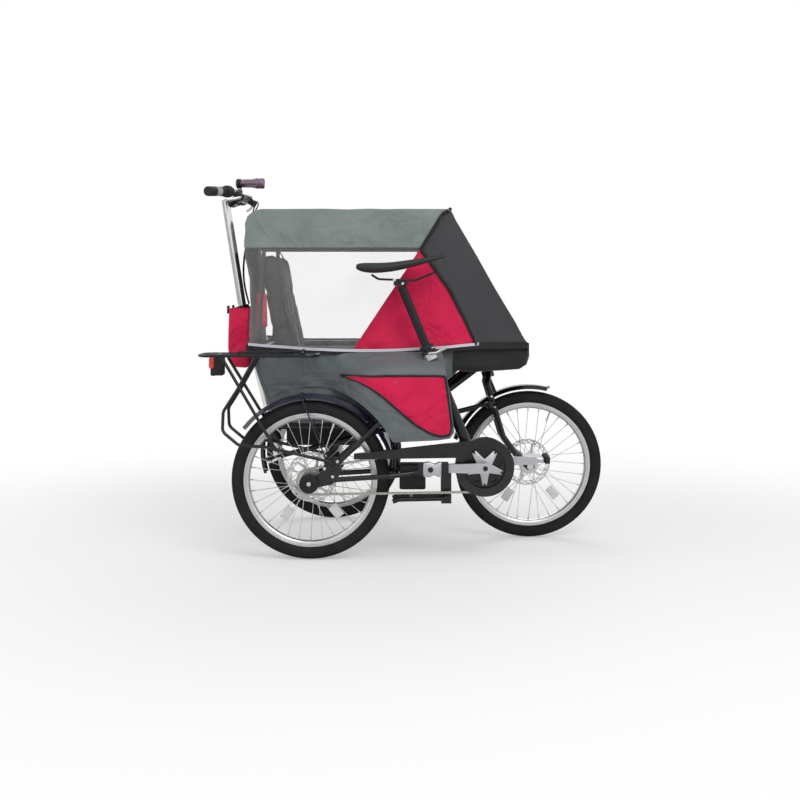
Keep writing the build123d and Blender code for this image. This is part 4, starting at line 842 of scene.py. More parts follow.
# %% Canopy creases
def pipe_x(z):
    """X of the dark piping at a height."""
    places = [PIPE_LOW, PIPE_MIDDLE, PIPE_BEND, PIPE_TOP, (HOOP_X, ROOF_Z)]
    if z <= places[0][1]:
        return places[0][0]
    for (x0, z0), (x1, z1) in zip(places, places[1:]):
        if z <= z1:
            return x0 + (x1 - x0) * (z - z0) / (z1 - z0)
    return HOOP_X


def quarter_x(z):
    """X of the slanting seam between window and red quarter at a height."""
    share = (z - QUARTER_LOW[1]) / (PIPE_BEND[1] - QUARTER_LOW[1])
    return QUARTER_LOW[0] + (PIPE_BEND[0] - QUARTER_LOW[0]) * share


def canopy_push(co):
    """How far the canopy's cloth stands off its plain form."""
    x, y, z = co
    seam = min(line_distance(x, z, a, b) for a, b in SEAMS)
    hold = fade(seam, 0.045) * fade(z - RIM_Z, 0.035)
    if z > ROOF_Z - 0.03:
        over = (y - CABIN_Y) / 0.24
        span = math.sin(math.pi * max(0.0, min(1.0, (x + 0.478) / 0.60)))
        return -0.009 * span * max(0.0, 1 - over * over) + 0.0022 * crease(x, y, 1.45, 3, 14, 2.0) * span
    if x > pipe_x(z):
        return hold * (0.0030 * crease(x, z, -1.05, 3.0, 16.0, 5.0) - 0.003)
    if z > EAVES_Z:
        slant = crease(x, z, 2.45, 2.2, 17.0, 9.0)
        return fade(seam, 0.03) * fade(ROOF_Z - 0.02 - z, 0.05) * (0.011 * slant + 0.003 * crease(x, z, 1.2, 4, 40, 3.0))
    if x > quarter_x(z):
        return hold * (0.009 * crease(x, z, 0.9, 2.5, 17.0, 13.0) - 0.004)
    return hold * (0.007 * crease(x, z, 0.35, 2.2, 12.0, 21.0) - 0.003)


drape(canopy, canopy_push)


# %% [markdown]
# The panels are now taken from the one sheet, so that their edges meet exactly.

# %% Canopy panels
def panel(source, name, wanted, wall):
    """The faces of a sheet that pass the test, as a panel with its own thickness."""
    made = copy_of(source, name)
    drop_faces(made, lambda c, n: not wanted(c))
    thicken(made, wall)
    smooth_shade(made, 50)
    return made


def is_net(c):
    return c.x > pipe_x(c.z)


def is_roof(c):
    return not is_net(c) and c.z > EAVES_Z


def is_quarter(c):
    return not is_net(c) and not is_roof(c) and c.x > quarter_x(c.z)


def is_back(c):
    return not is_roof(c) and c.x < REAR_X + 0.01 and abs(c.y - CABIN_Y) < 0.235


def is_window(c):
    return not (is_net(c) or is_roof(c) or is_quarter(c) or is_back(c))


roof_sheet = panel(canopy, "roof_sheet", is_roof, 0.0012)
finish_piece(roof_sheet, roof_cloth, "chassis", "grey_cloth", "canopy_roof")
window_film = panel(canopy, "window_film", is_window, 0.0006)
finish_piece(window_film, clear_film, "chassis", "clear_film", "windows")
red_quarters = panel(canopy, "red_quarters", is_quarter, 0.0012)
finish_piece(red_quarters, red_cloth, "chassis", "red_cloth", "quarter_panels")
nose_net = panel(canopy, "nose_net", is_net, 0.0010)
finish_piece(nose_net, mesh_cloth, "chassis", "mesh_cloth", "canopy_mesh")
back_sheet = panel(canopy, "back_sheet", is_back, 0.0012)
finish_piece(back_sheet, black_cloth, "chassis", "black_cloth", "canopy_back")
print("canopy sheets", [len(p.data.polygons) for p in (roof_sheet, window_film, red_quarters, nose_net, back_sheet)])

# %% [markdown]
# ### Piping and hems
# Each seam is covered by a cord in a folded strip. Points along the seam are dropped on to the
# sheet, so that the cord lies on the creased cloth.

# %% Piping
def lay_on(sheet, points, lift=0.0):
    """The points moved to the nearest place on a sheet, and off it by the lift."""
    laid = []
    for point in points:
        found, place, normal, _ = sheet.closest_point_on_mesh(Vector(point))
        laid.append(tuple(place + normal * lift))
    return laid


def seam_points(line, side, half, lean, step=0.016):
    """Points along a side-view line, out on one side of the cabin."""
    points = []
    for (x0, z0), (x1, z1) in zip(line, line[1:]):
        count = max(1, round(math.hypot(x1 - x0, z1 - z0) / step))
        for k in range(count):
            x = x0 + (x1 - x0) * k / count
            z = z0 + (z1 - z0) * k / count
            points.append((x, CABIN_Y + side * cabin_half(x, z, half, lean), z))
    x, z = line[-1]
    points.append((x, CABIN_Y + side * cabin_half(x, z, half, lean), z))
    return points


PIPE_LINE = [(HOOP_X - 0.006, ROOF_Z - 0.006), PIPE_TOP, PIPE_BEND, PIPE_MIDDLE, PIPE_LOW, (0.216, RIM_Z + 0.002)]
QUARTER_LINE = [PIPE_BEND, QUARTER_LOW]
EAVES_LINE = [(REAR_X - 0.012, EAVES_Z), (PIPE_BEND[0], EAVES_Z)]
cords = []
hems = []
for side in (-1, 1):
    cords.append(cord_mesh("piping", lay_on(canopy, seam_points(PIPE_LINE, side, CANOPY_HALF, CANOPY_LEAN), 0.001), 0.0065))
    hems.append(cord_mesh("hem", lay_on(canopy, seam_points(QUARTER_LINE, side, CANOPY_HALF, CANOPY_LEAN), 0.0), 0.0022))
across_hoop = [(HOOP_X, CABIN_Y - 0.222 + 0.444 * k / 12, ROOF_Z - 0.001) for k in range(13)]
cords.append(cord_mesh("piping", lay_on(canopy, across_hoop, 0.001), 0.0068))
eaves_hems = []
for side in (-1, 1):
    eaves_hems.append(cord_mesh("eaves", lay_on(canopy, seam_points(EAVES_LINE, side, CANOPY_HALF, CANOPY_LEAN), 0.0), 0.0018))
piping = join_all("canopy_piping", cords)
finish_piece(piping, black_cloth, "chassis", "black_cloth")
seam_hems = join_all("quarter_hems", hems)
finish_piece(seam_hems, red_cloth, "chassis", "red_cloth")
roof_hems = join_all("roof_hems", eaves_hems)
finish_piece(roof_hems, roof_cloth, "chassis", "grey_cloth")
print("piping", len(piping.data.polygons), "faces")

# %% [markdown]
# ### Tub and nose
# Under the rim the same cloth goes round the tub, and turns black at the nose. Its lower edges
# are soft. The tub is open at the top.

# %% Tub sheet
TUB_OUTLINE = [
    (-0.502, RIM_Z),
    (-0.502, 0.622),
    (-0.456, 0.484),
    (-0.440, 0.432),
    (-0.426, TUB_FLOOR_Z),
    (-0.006, TUB_FLOOR_Z),
    (0.075, 0.505),
    (0.158, 0.588),
    (0.215, 0.584),
    (0.300, 0.586),
    (0.362, NOSE_FLOOR_Z),
    (0.384, 0.606),
    (NOSE_X, 0.630),
    (NOSE_X, RIM_Z),
]
tub_form = plate("tub_form", TUB_OUTLINE, CABIN_Y - TUB_HALF, CABIN_Y + TUB_HALF)
drop_faces(tub_form, lambda c, n: n.z > 0.9)
round_edges(
    tub_form,
    lambda a, b: abs(a.y - b.y) < 0.001 and (a - b).length > 0.001 and not (a.z > RIM_Z - 0.001 and b.z > RIM_Z - 0.001),
    0.016,
    3,
)
cut_grid(tub_form, 0.020, 0.030, 0.020)
NOSE_SEAM_X = 0.140
cut_seam(tub_form, (NOSE_SEAM_X, 0.5), (NOSE_SEAM_X, 0.7))
merge_points(tub_form, 0.0008)
spread(tub_form, TUB_HALF, 0.0, TUB_HALF)


def tub_push(co):
    """Soft creases that hang from the rim and die out at the floor."""
    x, y, z = co
    hold = fade(RIM_Z - z, 0.03)
    if x > NOSE_SEAM_X:
        return hold * (0.008 * crease(x + y, z, 0.15, 4.0, 24.0, 4.0) + 0.002)
    return hold * 0.008 * crease(x, z, 2.3, 3.0, 18.0, 7.0)


drape(tub_form, tub_push)
tub_sheet = panel(tub_form, "tub_sheet", lambda c: c.x <= NOSE_SEAM_X, 0.0025)
finish_piece(tub_sheet, side_cloth, "chassis", "grey_cloth", "tub")
nose_sheet = panel(tub_form, "nose_sheet", lambda c: c.x > NOSE_SEAM_X, 0.0025)
finish_piece(nose_sheet, black_cloth, "chassis", "black_cloth", "nose")
print("tub", len(tub_form.data.polygons), "faces")

# %% [markdown]
# ### Side pods
# A cloth fairing swells from the rim over the drive unit's mast and back over the wheel. Seen from
# the side it has an arch for the wheel, seen from above it swells and then closes at the front.

# %% Pod form
POD_REAR_X = -0.470
POD_TAPER_X = -0.270
POD_BULGE_X = -0.100
POD_LOW_Z = 0.374
POD_TOP_Z = RIM_Z - 0.016
ARCH_R = 0.287


def pod_outline(wheel_x):
    """The pod's side outline, with the arch as an arc of points."""
    reach = math.sqrt(ARCH_R**2 - (POD_LOW_Z - WHEEL_R) ** 2)
    first, last = math.radians(118), math.atan2(POD_LOW_Z - WHEEL_R, reach)
    outline = [(POD_REAR_X - 0.022, POD_TOP_Z), (POD_REAR_X, 0.560)]
    for k in range(17):
        angle = first + (last - first) * k / 16
        outline.append((wheel_x + ARCH_R * math.cos(angle), WHEEL_R + ARCH_R * math.sin(angle)))
    outline += [(0.090, POD_LOW_Z + 0.006), (0.128, POD_LOW_Z + 0.012), (0.142, POD_LOW_Z + 0.030)]
    outline += [(0.126, 0.520), (0.108, 0.640), (0.104, POD_TOP_Z)]
    return outline


def pod_out(x, z):
    """How far the pod's cloth stands out from the tub's side."""
    t = max(0.0, min(1.0, (x - POD_TAPER_X) / (POD_BULGE_X - POD_TAPER_X)))
    swell = 0.006 + (POD_HALF - TUB_HALF - 0.006) * t * t * (3 - 2 * t)
    drop = max(0.0, min(1.0, (POD_TOP_Z - z) / 0.060))
    return 0.014 + (swell - 0.014) * math.sin(drop * math.pi / 2)


def pod_push(co):
    """Puckers that run down and forward from the rim over the pod's cloth."""
    x, y, z = co
    hold = fade(POD_TOP_Z - z, 0.02) * fade(x - POD_REAR_X, 0.05) * fade(0.13 - x, 0.03)
    top_band = max(0.0, 1 - (POD_TOP_Z - z) / 0.12)
    return hold * (0.011 * crease(x, z, 2.0, 3.0, 22.0, 31.0) * (0.35 + 0.65 * top_band) + 0.006 * crease(x, z, 0.8, 3.0, 12.0, 8.0))


def shape_pod(piece, side):
    """Moves each point out from the tub by the pod's swell, and creases it."""
    for vertex in piece.data.vertices:
        share = vertex.co.y
        reach = pod_out(vertex.co.x, vertex.co.z)
        vertex.co.y = CABIN_Y + side * (TUB_HALF - 0.002 + share * reach)
    if side < 0:
        take(piece)
    recalculate(piece)
    drape(piece, pod_push)


RED_OUTLINE = [
    (-0.219, 0.576),
    (-0.060, 0.581),
    (0.112, 0.580),
    (0.133, 0.420),
    (0.126, 0.398),
    (0.100, 0.392),
    (0.070, 0.400),
    (0.020, 0.428),
    (-0.030, 0.470),
    (-0.080, 0.514),
    (-0.120, 0.541),
    (-0.160, 0.560),
]
pod_cords = []
for side, side_name, wheel_x in ((-1, "right", DRIVE_X), (1, "left", LEFT_X)):
    pod = plate(f"{side_name}_pod_sheet", pod_outline(wheel_x), 0.0, 1.0)
    drop_faces(pod, lambda c, n: abs(n.y) > 0.9 and c.y < 0.5)
    drop_faces(pod, lambda c, n: abs(n.y) < 0.5 and c.z < 0.60 and c.x < 0.12)
    cut_grid(pod, 0.018, 0.0, 0.018)
    cut_grid(pod, 0.0, 0.15, 0.0)
    merge_points(pod, 0.0008)
    shape_pod(pod, side)
    round_front = pod.modifiers.new("soft", "SUBSURF")
    round_front.levels = 1
    round_front.render_levels = 1
    take(pod)
    bpy.ops.object.modifier_apply(modifier=round_front.name)
    thicken(pod, 0.0025)
    smooth_shade(pod, 60)
    finish_piece(pod, side_cloth, "chassis", "grey_cloth", f"{side_name}_pod")
    patch = plate(f"{side_name}_red_panel", RED_OUTLINE, 0.0, 1.0)
    drop_faces(patch, lambda c, n: not (abs(n.y) > 0.9 and c.y > 0.5))
    cut_grid(patch, 0.014, 0.0, 0.014)
    merge_points(patch, 0.0008)
    for vertex in patch.data.vertices:
        out = TUB_HALF - 0.002 + pod_out(vertex.co.x, vertex.co.z)
        vertex.co.y = CABIN_Y + side * out
    for vertex, place in zip(patch.data.vertices, lay_on(pod, [v.co for v in patch.data.vertices])):
        vertex.co.y = place[1] + side * 0.0016
    recalculate(patch)
    thicken(patch, 0.0012, 1.0 if side > 0 else 1.0)
    smooth_shade(patch, 60)
    finish_piece(patch, red_cloth, "chassis", "red_cloth", *(["red_panels"] if side < 0 else []))
    closed = RED_OUTLINE + RED_OUTLINE[:1]
    path = []
    for (x0, z0), (x1, z1) in zip(closed, closed[1:]):
        count = max(1, round(math.hypot(x1 - x0, z1 - z0) / 0.014))
        path += [(x0 + (x1 - x0) * k / count, z0 + (z1 - z0) * k / count) for k in range(count)]
    path.append(closed[-1])
    rough = [(x, CABIN_Y + side * (TUB_HALF + pod_out(x, z)), z) for x, z in path]
    pod_cords.append(cord_mesh("pod_piping", lay_on(pod, rough, 0.001), 0.0042))
pod_piping = join_all("pod_piping", pod_cords)
finish_piece(pod_piping, black_cloth, "chassis", "black_cloth")
print("pods and piping", len(pod_piping.data.polygons), "faces")

# %% [markdown]
# ### Rim band and reflective tape
# A black webbing band runs along the rim, with a narrow silver reflective tape sewn to its top
# edge. It dips a little in the middle of the side, as the photograph shows.

# %% Rim band
def rim_line(x):
    """Height of the tape's middle along the side."""
    share = max(0.0, min(1.0, (x + 0.512) / 0.74))
    return RIM_Z + 0.006 - 0.020 * math.sin(math.pi * share)


def ribbon(name, x_start, x_end, low, high, out, wall, side):
    """A band along the side between two heights measured from the tape's line."""
    start_clean()
    bpy.ops.mesh.primitive_grid_add(x_subdivisions=90, y_subdivisions=3, size=1.0)
    made = bpy.context.active_object
    made.name = name
    for vertex in made.data.vertices:
        x = x_start + (x_end - x_start) * (vertex.co.x + 0.5)
        z = rim_line(x) + low + (high - low) * (vertex.co.y + 0.5)
        wave = 0.0012 * noise.noise(Vector((x * 14, side, 3.0)))
        half = cabin_half(x, RIM_Z, CANOPY_HALF, 0.0) + out + wave
        vertex.co = (x, CABIN_Y + side * half, z + wave)
    recalculate(made)
    thicken(made, wall, 0.0)
    smooth_shade(made, 50)
    return made


bands = []
tapes = []
for side in (-1, 1):
    bands.append(ribbon("band", -0.512, 0.388, -0.016, 0.004, 0.002, 0.003, side))
    tapes.append(ribbon("tape", -0.514, 0.226, -0.0045, 0.0045, 0.0048, 0.0008, side))
rear_band = plate("band", [(-0.520, 0.640), (-0.514, 0.640), (-0.514, 0.676), (-0.520, 0.676)], CABIN_Y - CANOPY_HALF, CABIN_Y + CANOPY_HALF)
front_band = plate("band", [(0.388, 0.646), (0.3945, 0.646), (0.3945, 0.674), (0.388, 0.674)], CABIN_Y - NOSE_HALF, CABIN_Y + NOSE_HALF)
for band in (rear_band, front_band):
    round_edges(band, lambda a, b: True, 0.0012, 2)
    bands.append(band)
rim_webbing = join_all("rim_webbing", bands)
finish_piece(rim_webbing, black_cloth, "chassis", "black_cloth", "rim_band")
rim_tape = join_all("rim_tape", tapes)
finish_piece(rim_tape, silver_tape, "chassis", "silver_band")
for helper in (canopy, tub_form):
    bpy.data.objects.remove(helper)
print("rim band and tape made")

# %% [markdown]
# ## Wheels
# A wheel is turned work: the tyre, rim and hub are closed profiles spun about the axle. The tread
# comes from the spun faces themselves, which are inset one by one and pushed out. Each wheel is
# modelled at the origin and then moved to its place.

# %% Turning helpers
def turned(name, profile, steps):
    """A closed (radius, y) profile spun about the Y axis."""
    start_clean()
    bpy.ops.mesh.primitive_circle_add(vertices=len(profile), radius=1.0, fill_type="NOTHING")
    made = bpy.context.active_object
    made.name = name
    for vertex, (r, y) in zip(made.data.vertices, profile):
        vertex.co = (r, y, 0)
    bpy.ops.object.mode_set(mode="EDIT")
    bpy.ops.mesh.select_all(action="SELECT")
    bpy.ops.mesh.spin(steps=steps, angle=2 * math.pi, center=(0, 0, 0), axis=(0, 1, 0))
    bpy.ops.mesh.select_all(action="SELECT")
    bpy.ops.mesh.remove_doubles(threshold=0.00002)
    bpy.ops.mesh.normals_make_consistent(inside=False)
    bpy.ops.object.mode_set(mode="OBJECT")
    return made


def both_sides(points):
    """A half profile followed by its mirror image across the wheel's middle."""
    return points + [(r, -y) for r, y in reversed(points)]


def move_mesh(piece, matrix):
    """Moves a piece's mesh and leaves its object at the origin."""
    piece.data.transform(matrix)
    piece.data.update()
    return piece


def centred(piece):
    """Puts a piece's own placing into its mesh."""
    take(piece)
    bpy.ops.object.transform_apply(location=True, rotation=True, scale=True)
    return piece


def aim(start, end):
    """The matrix that lays a piece modelled along Z from start towards end."""
    run = Vector(end) - Vector(start)
    return Matrix.Translation(Vector(start)) @ run.to_track_quat("Z", "Y").to_matrix().to_4x4()


# %% [markdown]
# ### Tyre
# The tread is a road tyre's: small close blocks on the crown, a fine rib on each shoulder and a
# plain sidewall with two raised rings by the bead.

# %% Tyre
TYRE_SIDE = [
    (0.2108, 0.0108),
    (0.2125, 0.0150),
    (0.2145, 0.0178),
    (0.2152, 0.0192),
    (0.2165, 0.0196),
    (0.2172, 0.0205),
    (0.2225, 0.0226),
    (0.2290, 0.0230),
    (0.2350, 0.0219),
    (0.2372, 0.0216),
    (0.2385, 0.0204),
    (0.2420, 0.0172),
    (0.2452, 0.0130),
    (0.2472, 0.0084),
    (0.2484, 0.0032),
]
TREAD_STEPS = 168


def make_tyre(name):
    """A tyre with tread blocks on its crown."""
    tyre = turned(name, both_sides(TYRE_SIDE), TREAD_STEPS)
    pick_faces(tyre, lambda c, n: math.hypot(c.x, c.z) > 0.2395)
    bpy.ops.mesh.inset(thickness=0.0011, depth=0.0012, use_individual=True)
    bpy.ops.object.mode_set(mode="OBJECT")
    smooth_shade(tyre, 28)
    return tyre


# %% [markdown]
# ### Rim and spokes
# The rim is a hollow box of alloy with a dark brake line. Thirty-two steel spokes leave the hub's
# flanges at a slant and cross, each screwed into a small brass nipple.

# %% Rim, spoke and hub
RIM_SIDE = [
    (0.1912, 0.0045),
    (0.1930, 0.0085),
    (0.1962, 0.0112),
    (0.1995, 0.0124),
    (0.2030, 0.0127),
    (0.2036, 0.0122),
    (0.2042, 0.0127),
    (0.2104, 0.0128),
    (0.2108, 0.0120),
    (0.2098, 0.0104),
]
SPOKE_COUNT = 32


def make_rim(name):
    """The rim's ring with a valve on it."""
    rim = turned(name, both_sides(RIM_SIDE), 128)
    start_clean()
    bpy.ops.mesh.primitive_cylinder_add(vertices=10, radius=0.0028, depth=0.034, location=(0, 0, 0.178))
    valve = centred(bpy.context.active_object)
    pick_faces(valve, lambda c, n: n.z < -0.9)
    bpy.ops.mesh.inset(thickness=0.0009)
    bpy.ops.mesh.extrude_region_move(TRANSFORM_OT_translate={"value": (0, 0, -0.005)})
    bpy.ops.object.mode_set(mode="OBJECT")
    move_mesh(valve, Matrix.Rotation(math.radians(23), 4, "Y"))
    made = join_all(name, [rim, valve])
    smooth_shade(made, 30)
    return made


def make_spoke(length):
    """One spoke along Z with its nipple at the far end."""
    start_clean()
    bpy.ops.mesh.primitive_cylinder_add(vertices=6, radius=0.00105, depth=length, location=(0, 0, length / 2))
    wire = centred(bpy.context.active_object)
    bpy.ops.mesh.primitive_cone_add(vertices=6, radius1=0.0019, radius2=0.0024, depth=0.013, location=(0, 0, length - 0.006))
    nipple = centred(bpy.context.active_object)
    return join_all("spoke", [wire, nipple])


def make_spokes(name, flange_r, flange_y, lean):
    """The whole set of crossing spokes."""
    rim_r = 0.1915
    placed = []
    spoke = None
    for k in range(SPOKE_COUNT):
        side = 1 if k % 2 else -1
        turn = 1 if k % 4 < 2 else -1
        rim_angle = 2 * math.pi * k / SPOKE_COUNT
        hub_angle = rim_angle + math.radians(lean * turn)
        hub = Vector((flange_r * math.cos(hub_angle), side * (flange_y + 0.0018 * turn), flange_r * math.sin(hub_angle)))
        rim = Vector((rim_r * math.cos(rim_angle), side * 0.003, rim_r * math.sin(rim_angle)))
        if spoke is None:
            spoke = make_spoke((rim - hub).length)
        placed.append(move_mesh(copy_of(spoke, "spoke"), aim(hub, rim)))
    bpy.data.objects.remove(spoke)
    made = join_all(name, placed)
    smooth_shade(made, 40)
    return made


def make_hub(name, barrel, flange_y, ends, bore):
    """A hub: barrel, two flanges with rounded rims, and end caps."""
    low, high = ends
    profile = [
        (bore, low),
        (0.0135, low),
        (0.0150, low + 0.003),
        (0.0152, -flange_y - 0.0035),
        (0.0300, -flange_y - 0.0025),
        (0.0312, -flange_y),
        (0.0300, -flange_y + 0.0022),
        (barrel + 0.002, -flange_y + 0.0045),
        (barrel, -flange_y + 0.008),
        (barrel * 0.96, 0.0),
        (barrel, flange_y - 0.008),
        (barrel + 0.002, flange_y - 0.0045),
        (0.0300, flange_y - 0.0022),
        (0.0312, flange_y),
        (0.0300, flange_y + 0.0025),
        (0.0152, flange_y + 0.0035),
        (0.0150, high - 0.003),
        (0.0135, high),
        (bore, high),
    ]
    made = turned(name, profile, 48)
    smooth_shade(made, 30)
    return made


# %% [markdown]
# ### Brake disc
# The disc starts as a flat ring of four bands. Faces are taken out of the middle bands in two
# staggered rows, which makes the slots, and the ring is then given its thickness.

# %% Disc
def make_disc(name):
    """A slotted brake disc on six slanting arms."""
    start_clean()
    bands = [0.0640, 0.0672, 0.0712, 0.0752, 0.0785, 0.0800]
    bpy.ops.mesh.primitive_circle_add(vertices=len(bands), radius=1.0, fill_type="NOTHING")
    ring = bpy.context.active_object
    for vertex, r in zip(ring.data.vertices, bands):
        vertex.co = (r, 0, 0)
    bpy.ops.object.mode_set(mode="EDIT")
    bpy.ops.mesh.select_all(action="DESELECT")
    bpy.ops.object.mode_set(mode="OBJECT")
    for edge in ring.data.edges:
        edge.select = abs(edge.vertices[0] - edge.vertices[1]) > 1
    bpy.ops.object.mode_set(mode="EDIT")
    bpy.ops.mesh.select_mode(type="EDGE")
    bpy.ops.mesh.delete(type="EDGE_FACE")
    bpy.ops.mesh.select_all(action="SELECT")
    bpy.ops.mesh.spin(steps=120, angle=2 * math.pi, center=(0, 0, 0), axis=(0, 1, 0))
    bpy.ops.mesh.select_all(action="SELECT")
    bpy.ops.mesh.remove_doubles(threshold=0.00002)
    bpy.ops.mesh.normals_make_consistent(inside=False)
    bpy.ops.object.mode_set(mode="OBJECT")

    def is_slot(c, n):
        r = math.hypot(c.x, c.z)
        step = int((math.atan2(c.z, c.x) % (2 * math.pi)) / (2 * math.pi) * 120)
        if 0.0672 < r < 0.0712:
            return step % 6 in (0, 1, 2)
        if 0.0712 < r < 0.0752:
            return step % 6 in (3, 4)
        return r > 0.0785 and step % 10 in (0, 1)

    drop_faces(ring, is_slot)
    thicken(ring, 0.0019, 0.0)
    parts = [ring]
    for k in range(6):
        arm = plate("arm", [(0.018, -0.005), (0.040, -0.001), (0.0655, 0.014), (0.0655, 0.021), (0.036, 0.008), (0.018, 0.005)], -0.0009, 0.0009)
        parts.append(move_mesh(arm, Matrix.Rotation(math.radians(60 * k), 4, "Y")))
    boss = turned("boss", [(0.0165, -0.0018), (0.0250, -0.0018), (0.0250, 0.0018), (0.0165, 0.0018)], 48)
    parts.append(boss)
    made = join_all(name, parts)
    smooth_shade(made, 30)
    return made


# %% Place the wheels
WHEELS = (
    ("front", FRONT_X, CABIN_Y, "front_wheel", 0.016, 0.028, (-0.042, 0.042), 0.0053, 40),
    ("drive", DRIVE_X, DRIVE_Y, "drive_wheel", 0.0262, 0.030, (-0.036, 0.051), 0.0053, 30),
    ("left", LEFT_X, LEFT_Y, "left_wheel", 0.016, 0.028, (-0.036, 0.036), 0.0083, 40),
)
tyre_model = make_tyre("tyre_model")
rim_model = make_rim("rim_model")
disc_model = make_disc("disc_model")
for label, x, y, body, barrel, flange_y, ends, bore, lean in WHEELS:
    place = Matrix.Translation((x, y, WHEEL_R))
    tyre = move_mesh(copy_of(tyre_model, f"{label}_tread_tyre"), place)
    finish_piece(tyre, tyre_rubber, body, "tyre", f"{label}_tyre")
    rim = move_mesh(copy_of(rim_model, f"{label}_box_rim"), place)
    finish_piece(rim, alloy, body, "alloy", f"{label}_rim")
    hub = move_mesh(make_hub(f"{label}_hub_shell", barrel, flange_y, ends, bore), place)
    finish_piece(hub, alloy, body, "alloy", f"{label}_hub")
    spokes = move_mesh(make_spokes(f"{label}_spokes", 0.0270, flange_y, lean), place)
    finish_piece(spokes, steel, body, "alloy")
for label, x, y, offset, body in (
    ("front", FRONT_X, CABIN_Y, 0.039, "front_wheel"),
    ("drive", DRIVE_X, DRIVE_Y, 0.052, "drive_wheel"),
):
    brake_disc = move_mesh(copy_of(disc_model, f"{label}_slotted_disc"), Matrix.Translation((x, y + offset, WHEEL_R)))
    finish_piece(brake_disc, steel, body, "rotor_steel", f"{label}_rotor")
gear_case = turned("gear_case", [(0.0058, -0.057), (0.0190, -0.057), (0.0200, -0.055), (0.0200, -0.041), (0.0225, -0.040), (0.0225, -0.035), (0.0058, -0.035)], 40)
move_mesh(gear_case, Matrix.Translation((DRIVE_X, DRIVE_Y, WHEEL_R)))
smooth_shade(gear_case, 30)
finish_piece(gear_case, black_plastic, "drive_wheel", "black_plastic")
for helper in (tyre_model, rim_model, disc_model):
    bpy.data.objects.remove(helper)
print("wheels made")

# %% [markdown]
# ## Crank, chain and pedals
# On the near side a bright five-armed star holds the chainring, and the crank points straight
# back. Its pedal is folded flat: a bright casting with a black rubber tread. Inside the guard's
# ring the chain is made of links, so it shows a row of waisted plates.

# %% Sizes of the drive
BRACKET_X, BRACKET_Z = 0.235, 0.297
CHAIN_Y = DRIVE_Y - 0.045
CRANK = 0.170


def bolt(name, place, axis, radius, height):
    """A six-sided bolt head with a rounded crown, lying on a face."""
    start_clean()
    bpy.ops.mesh.primitive_cylinder_add(vertices=6, radius=radius, depth=height, location=(0, 0, height / 2))
    head = centred(bpy.context.active_object)
    round_edges(head, lambda a, b: a.z > height * 0.9 and b.z > height * 0.9, radius * 0.18, 2)
    return move_mesh(head, aim(place, Vector(place) + Vector(axis)))


def rounded_box(name, low, high, width, steps=3):
    """A box between two corners, with all its edges rounded."""
    start_clean()
    middle = [(a + b) / 2 for a, b in zip(low, high)]
    bpy.ops.mesh.primitive_cube_add(size=1.0, location=middle)
    made = bpy.context.active_object
    made.name = name
    made.scale = [b - a for a, b in zip(low, high)]
    centred(made)
    round_edges(made, lambda a, b: True, width, steps)
    smooth_shade(made, 40)
    return made


# %% Spider and chainring
def star_outline(arms, inner, outer, half_tip):
    """A star with blunt arms, as a side outline about the origin."""
    outline = []
    for k in range(arms):
        angle = 2 * math.pi * k / arms + math.radians(54)
        for turn, r in ((-half_tip, outer), (half_tip, outer), (math.pi / arms, inner)):
            outline.append((r * math.cos(angle + turn), r * math.sin(angle + turn)))
    return outline


spider = plate("crank_spider", star_outline(5, 0.024, 0.058, 0.12), -0.366, -0.360)
round_edges(spider, lambda a, b: True, 0.0014, 2)
move_mesh(spider, Matrix.Translation((BRACKET_X, 0, BRACKET_Z)))
smooth_shade(spider, 40)
finish_piece(spider, cast_silver, "crank", "alloy")
nodes["chainring"].data.materials.clear()
nodes["chainring"].data.materials.append(dark_steel)
ring_bolts = []
for k in range(5):
    angle = 2 * math.pi * k / 5 + math.radians(54)
    at = (BRACKET_X + 0.056 * math.cos(angle), -0.366, BRACKET_Z + 0.056 * math.sin(angle))
    ring_bolts.append(bolt("bolt", at, (0, -1, 0), 0.0042, 0.0024))
ring_bolts.append(bolt("bolt", (BRACKET_X, -0.3985, BRACKET_Z), (0, -1, 0), 0.0085, 0.0035))
chainring_bolts = join_all("crank_bolts", ring_bolts)
finish_piece(chainring_bolts, dark_steel, "crank", "alloy")

# %% [markdown]
# ### Chain links
# One link is a waisted plate with two rollers between a pair of plates. Copies follow the chain's
# course: straight above and below, round the chainring and round the sprocket.

# %% Chain
def chain_course():
    """Points every half inch along the chain's middle line, closed."""
    big, small = 0.0725 + 0.006, 0.034 + 0.006
    centre_big = Vector((BRACKET_X, BRACKET_Z))
    centre_small = Vector((DRIVE_X, WHEEL_R))
    run = centre_small - centre_big
    heading = math.atan2(run.y, run.x)
    lean = math.acos((big - small) / run.length)
    fine = []
    for k in range(121):
        angle = heading - lean - (2 * math.pi - 2 * lean) * k / 120
        fine.append(centre_big + big * Vector((math.cos(angle), math.sin(angle))))
    for k in range(61):
        angle = heading + lean - 2 * lean * k / 60
        fine.append(centre_small + small * Vector((math.cos(angle), math.sin(angle))))
    fine.append(fine[0])
    lengths = [0.0]
    for a, b in zip(fine, fine[1:]):
        lengths.append(lengths[-1] + (b - a).length)
    count = 2 * round(lengths[-1] / 0.0127 / 2)
    course = []
    k = 0
    for step in range(count):
        want = lengths[-1] * step / count
        while lengths[k + 1] < want:
            k += 1
        share = (want - lengths[k]) / max(1e-9, lengths[k + 1] - lengths[k])
        course.append(fine[k].lerp(fine[k + 1], share))
    return course


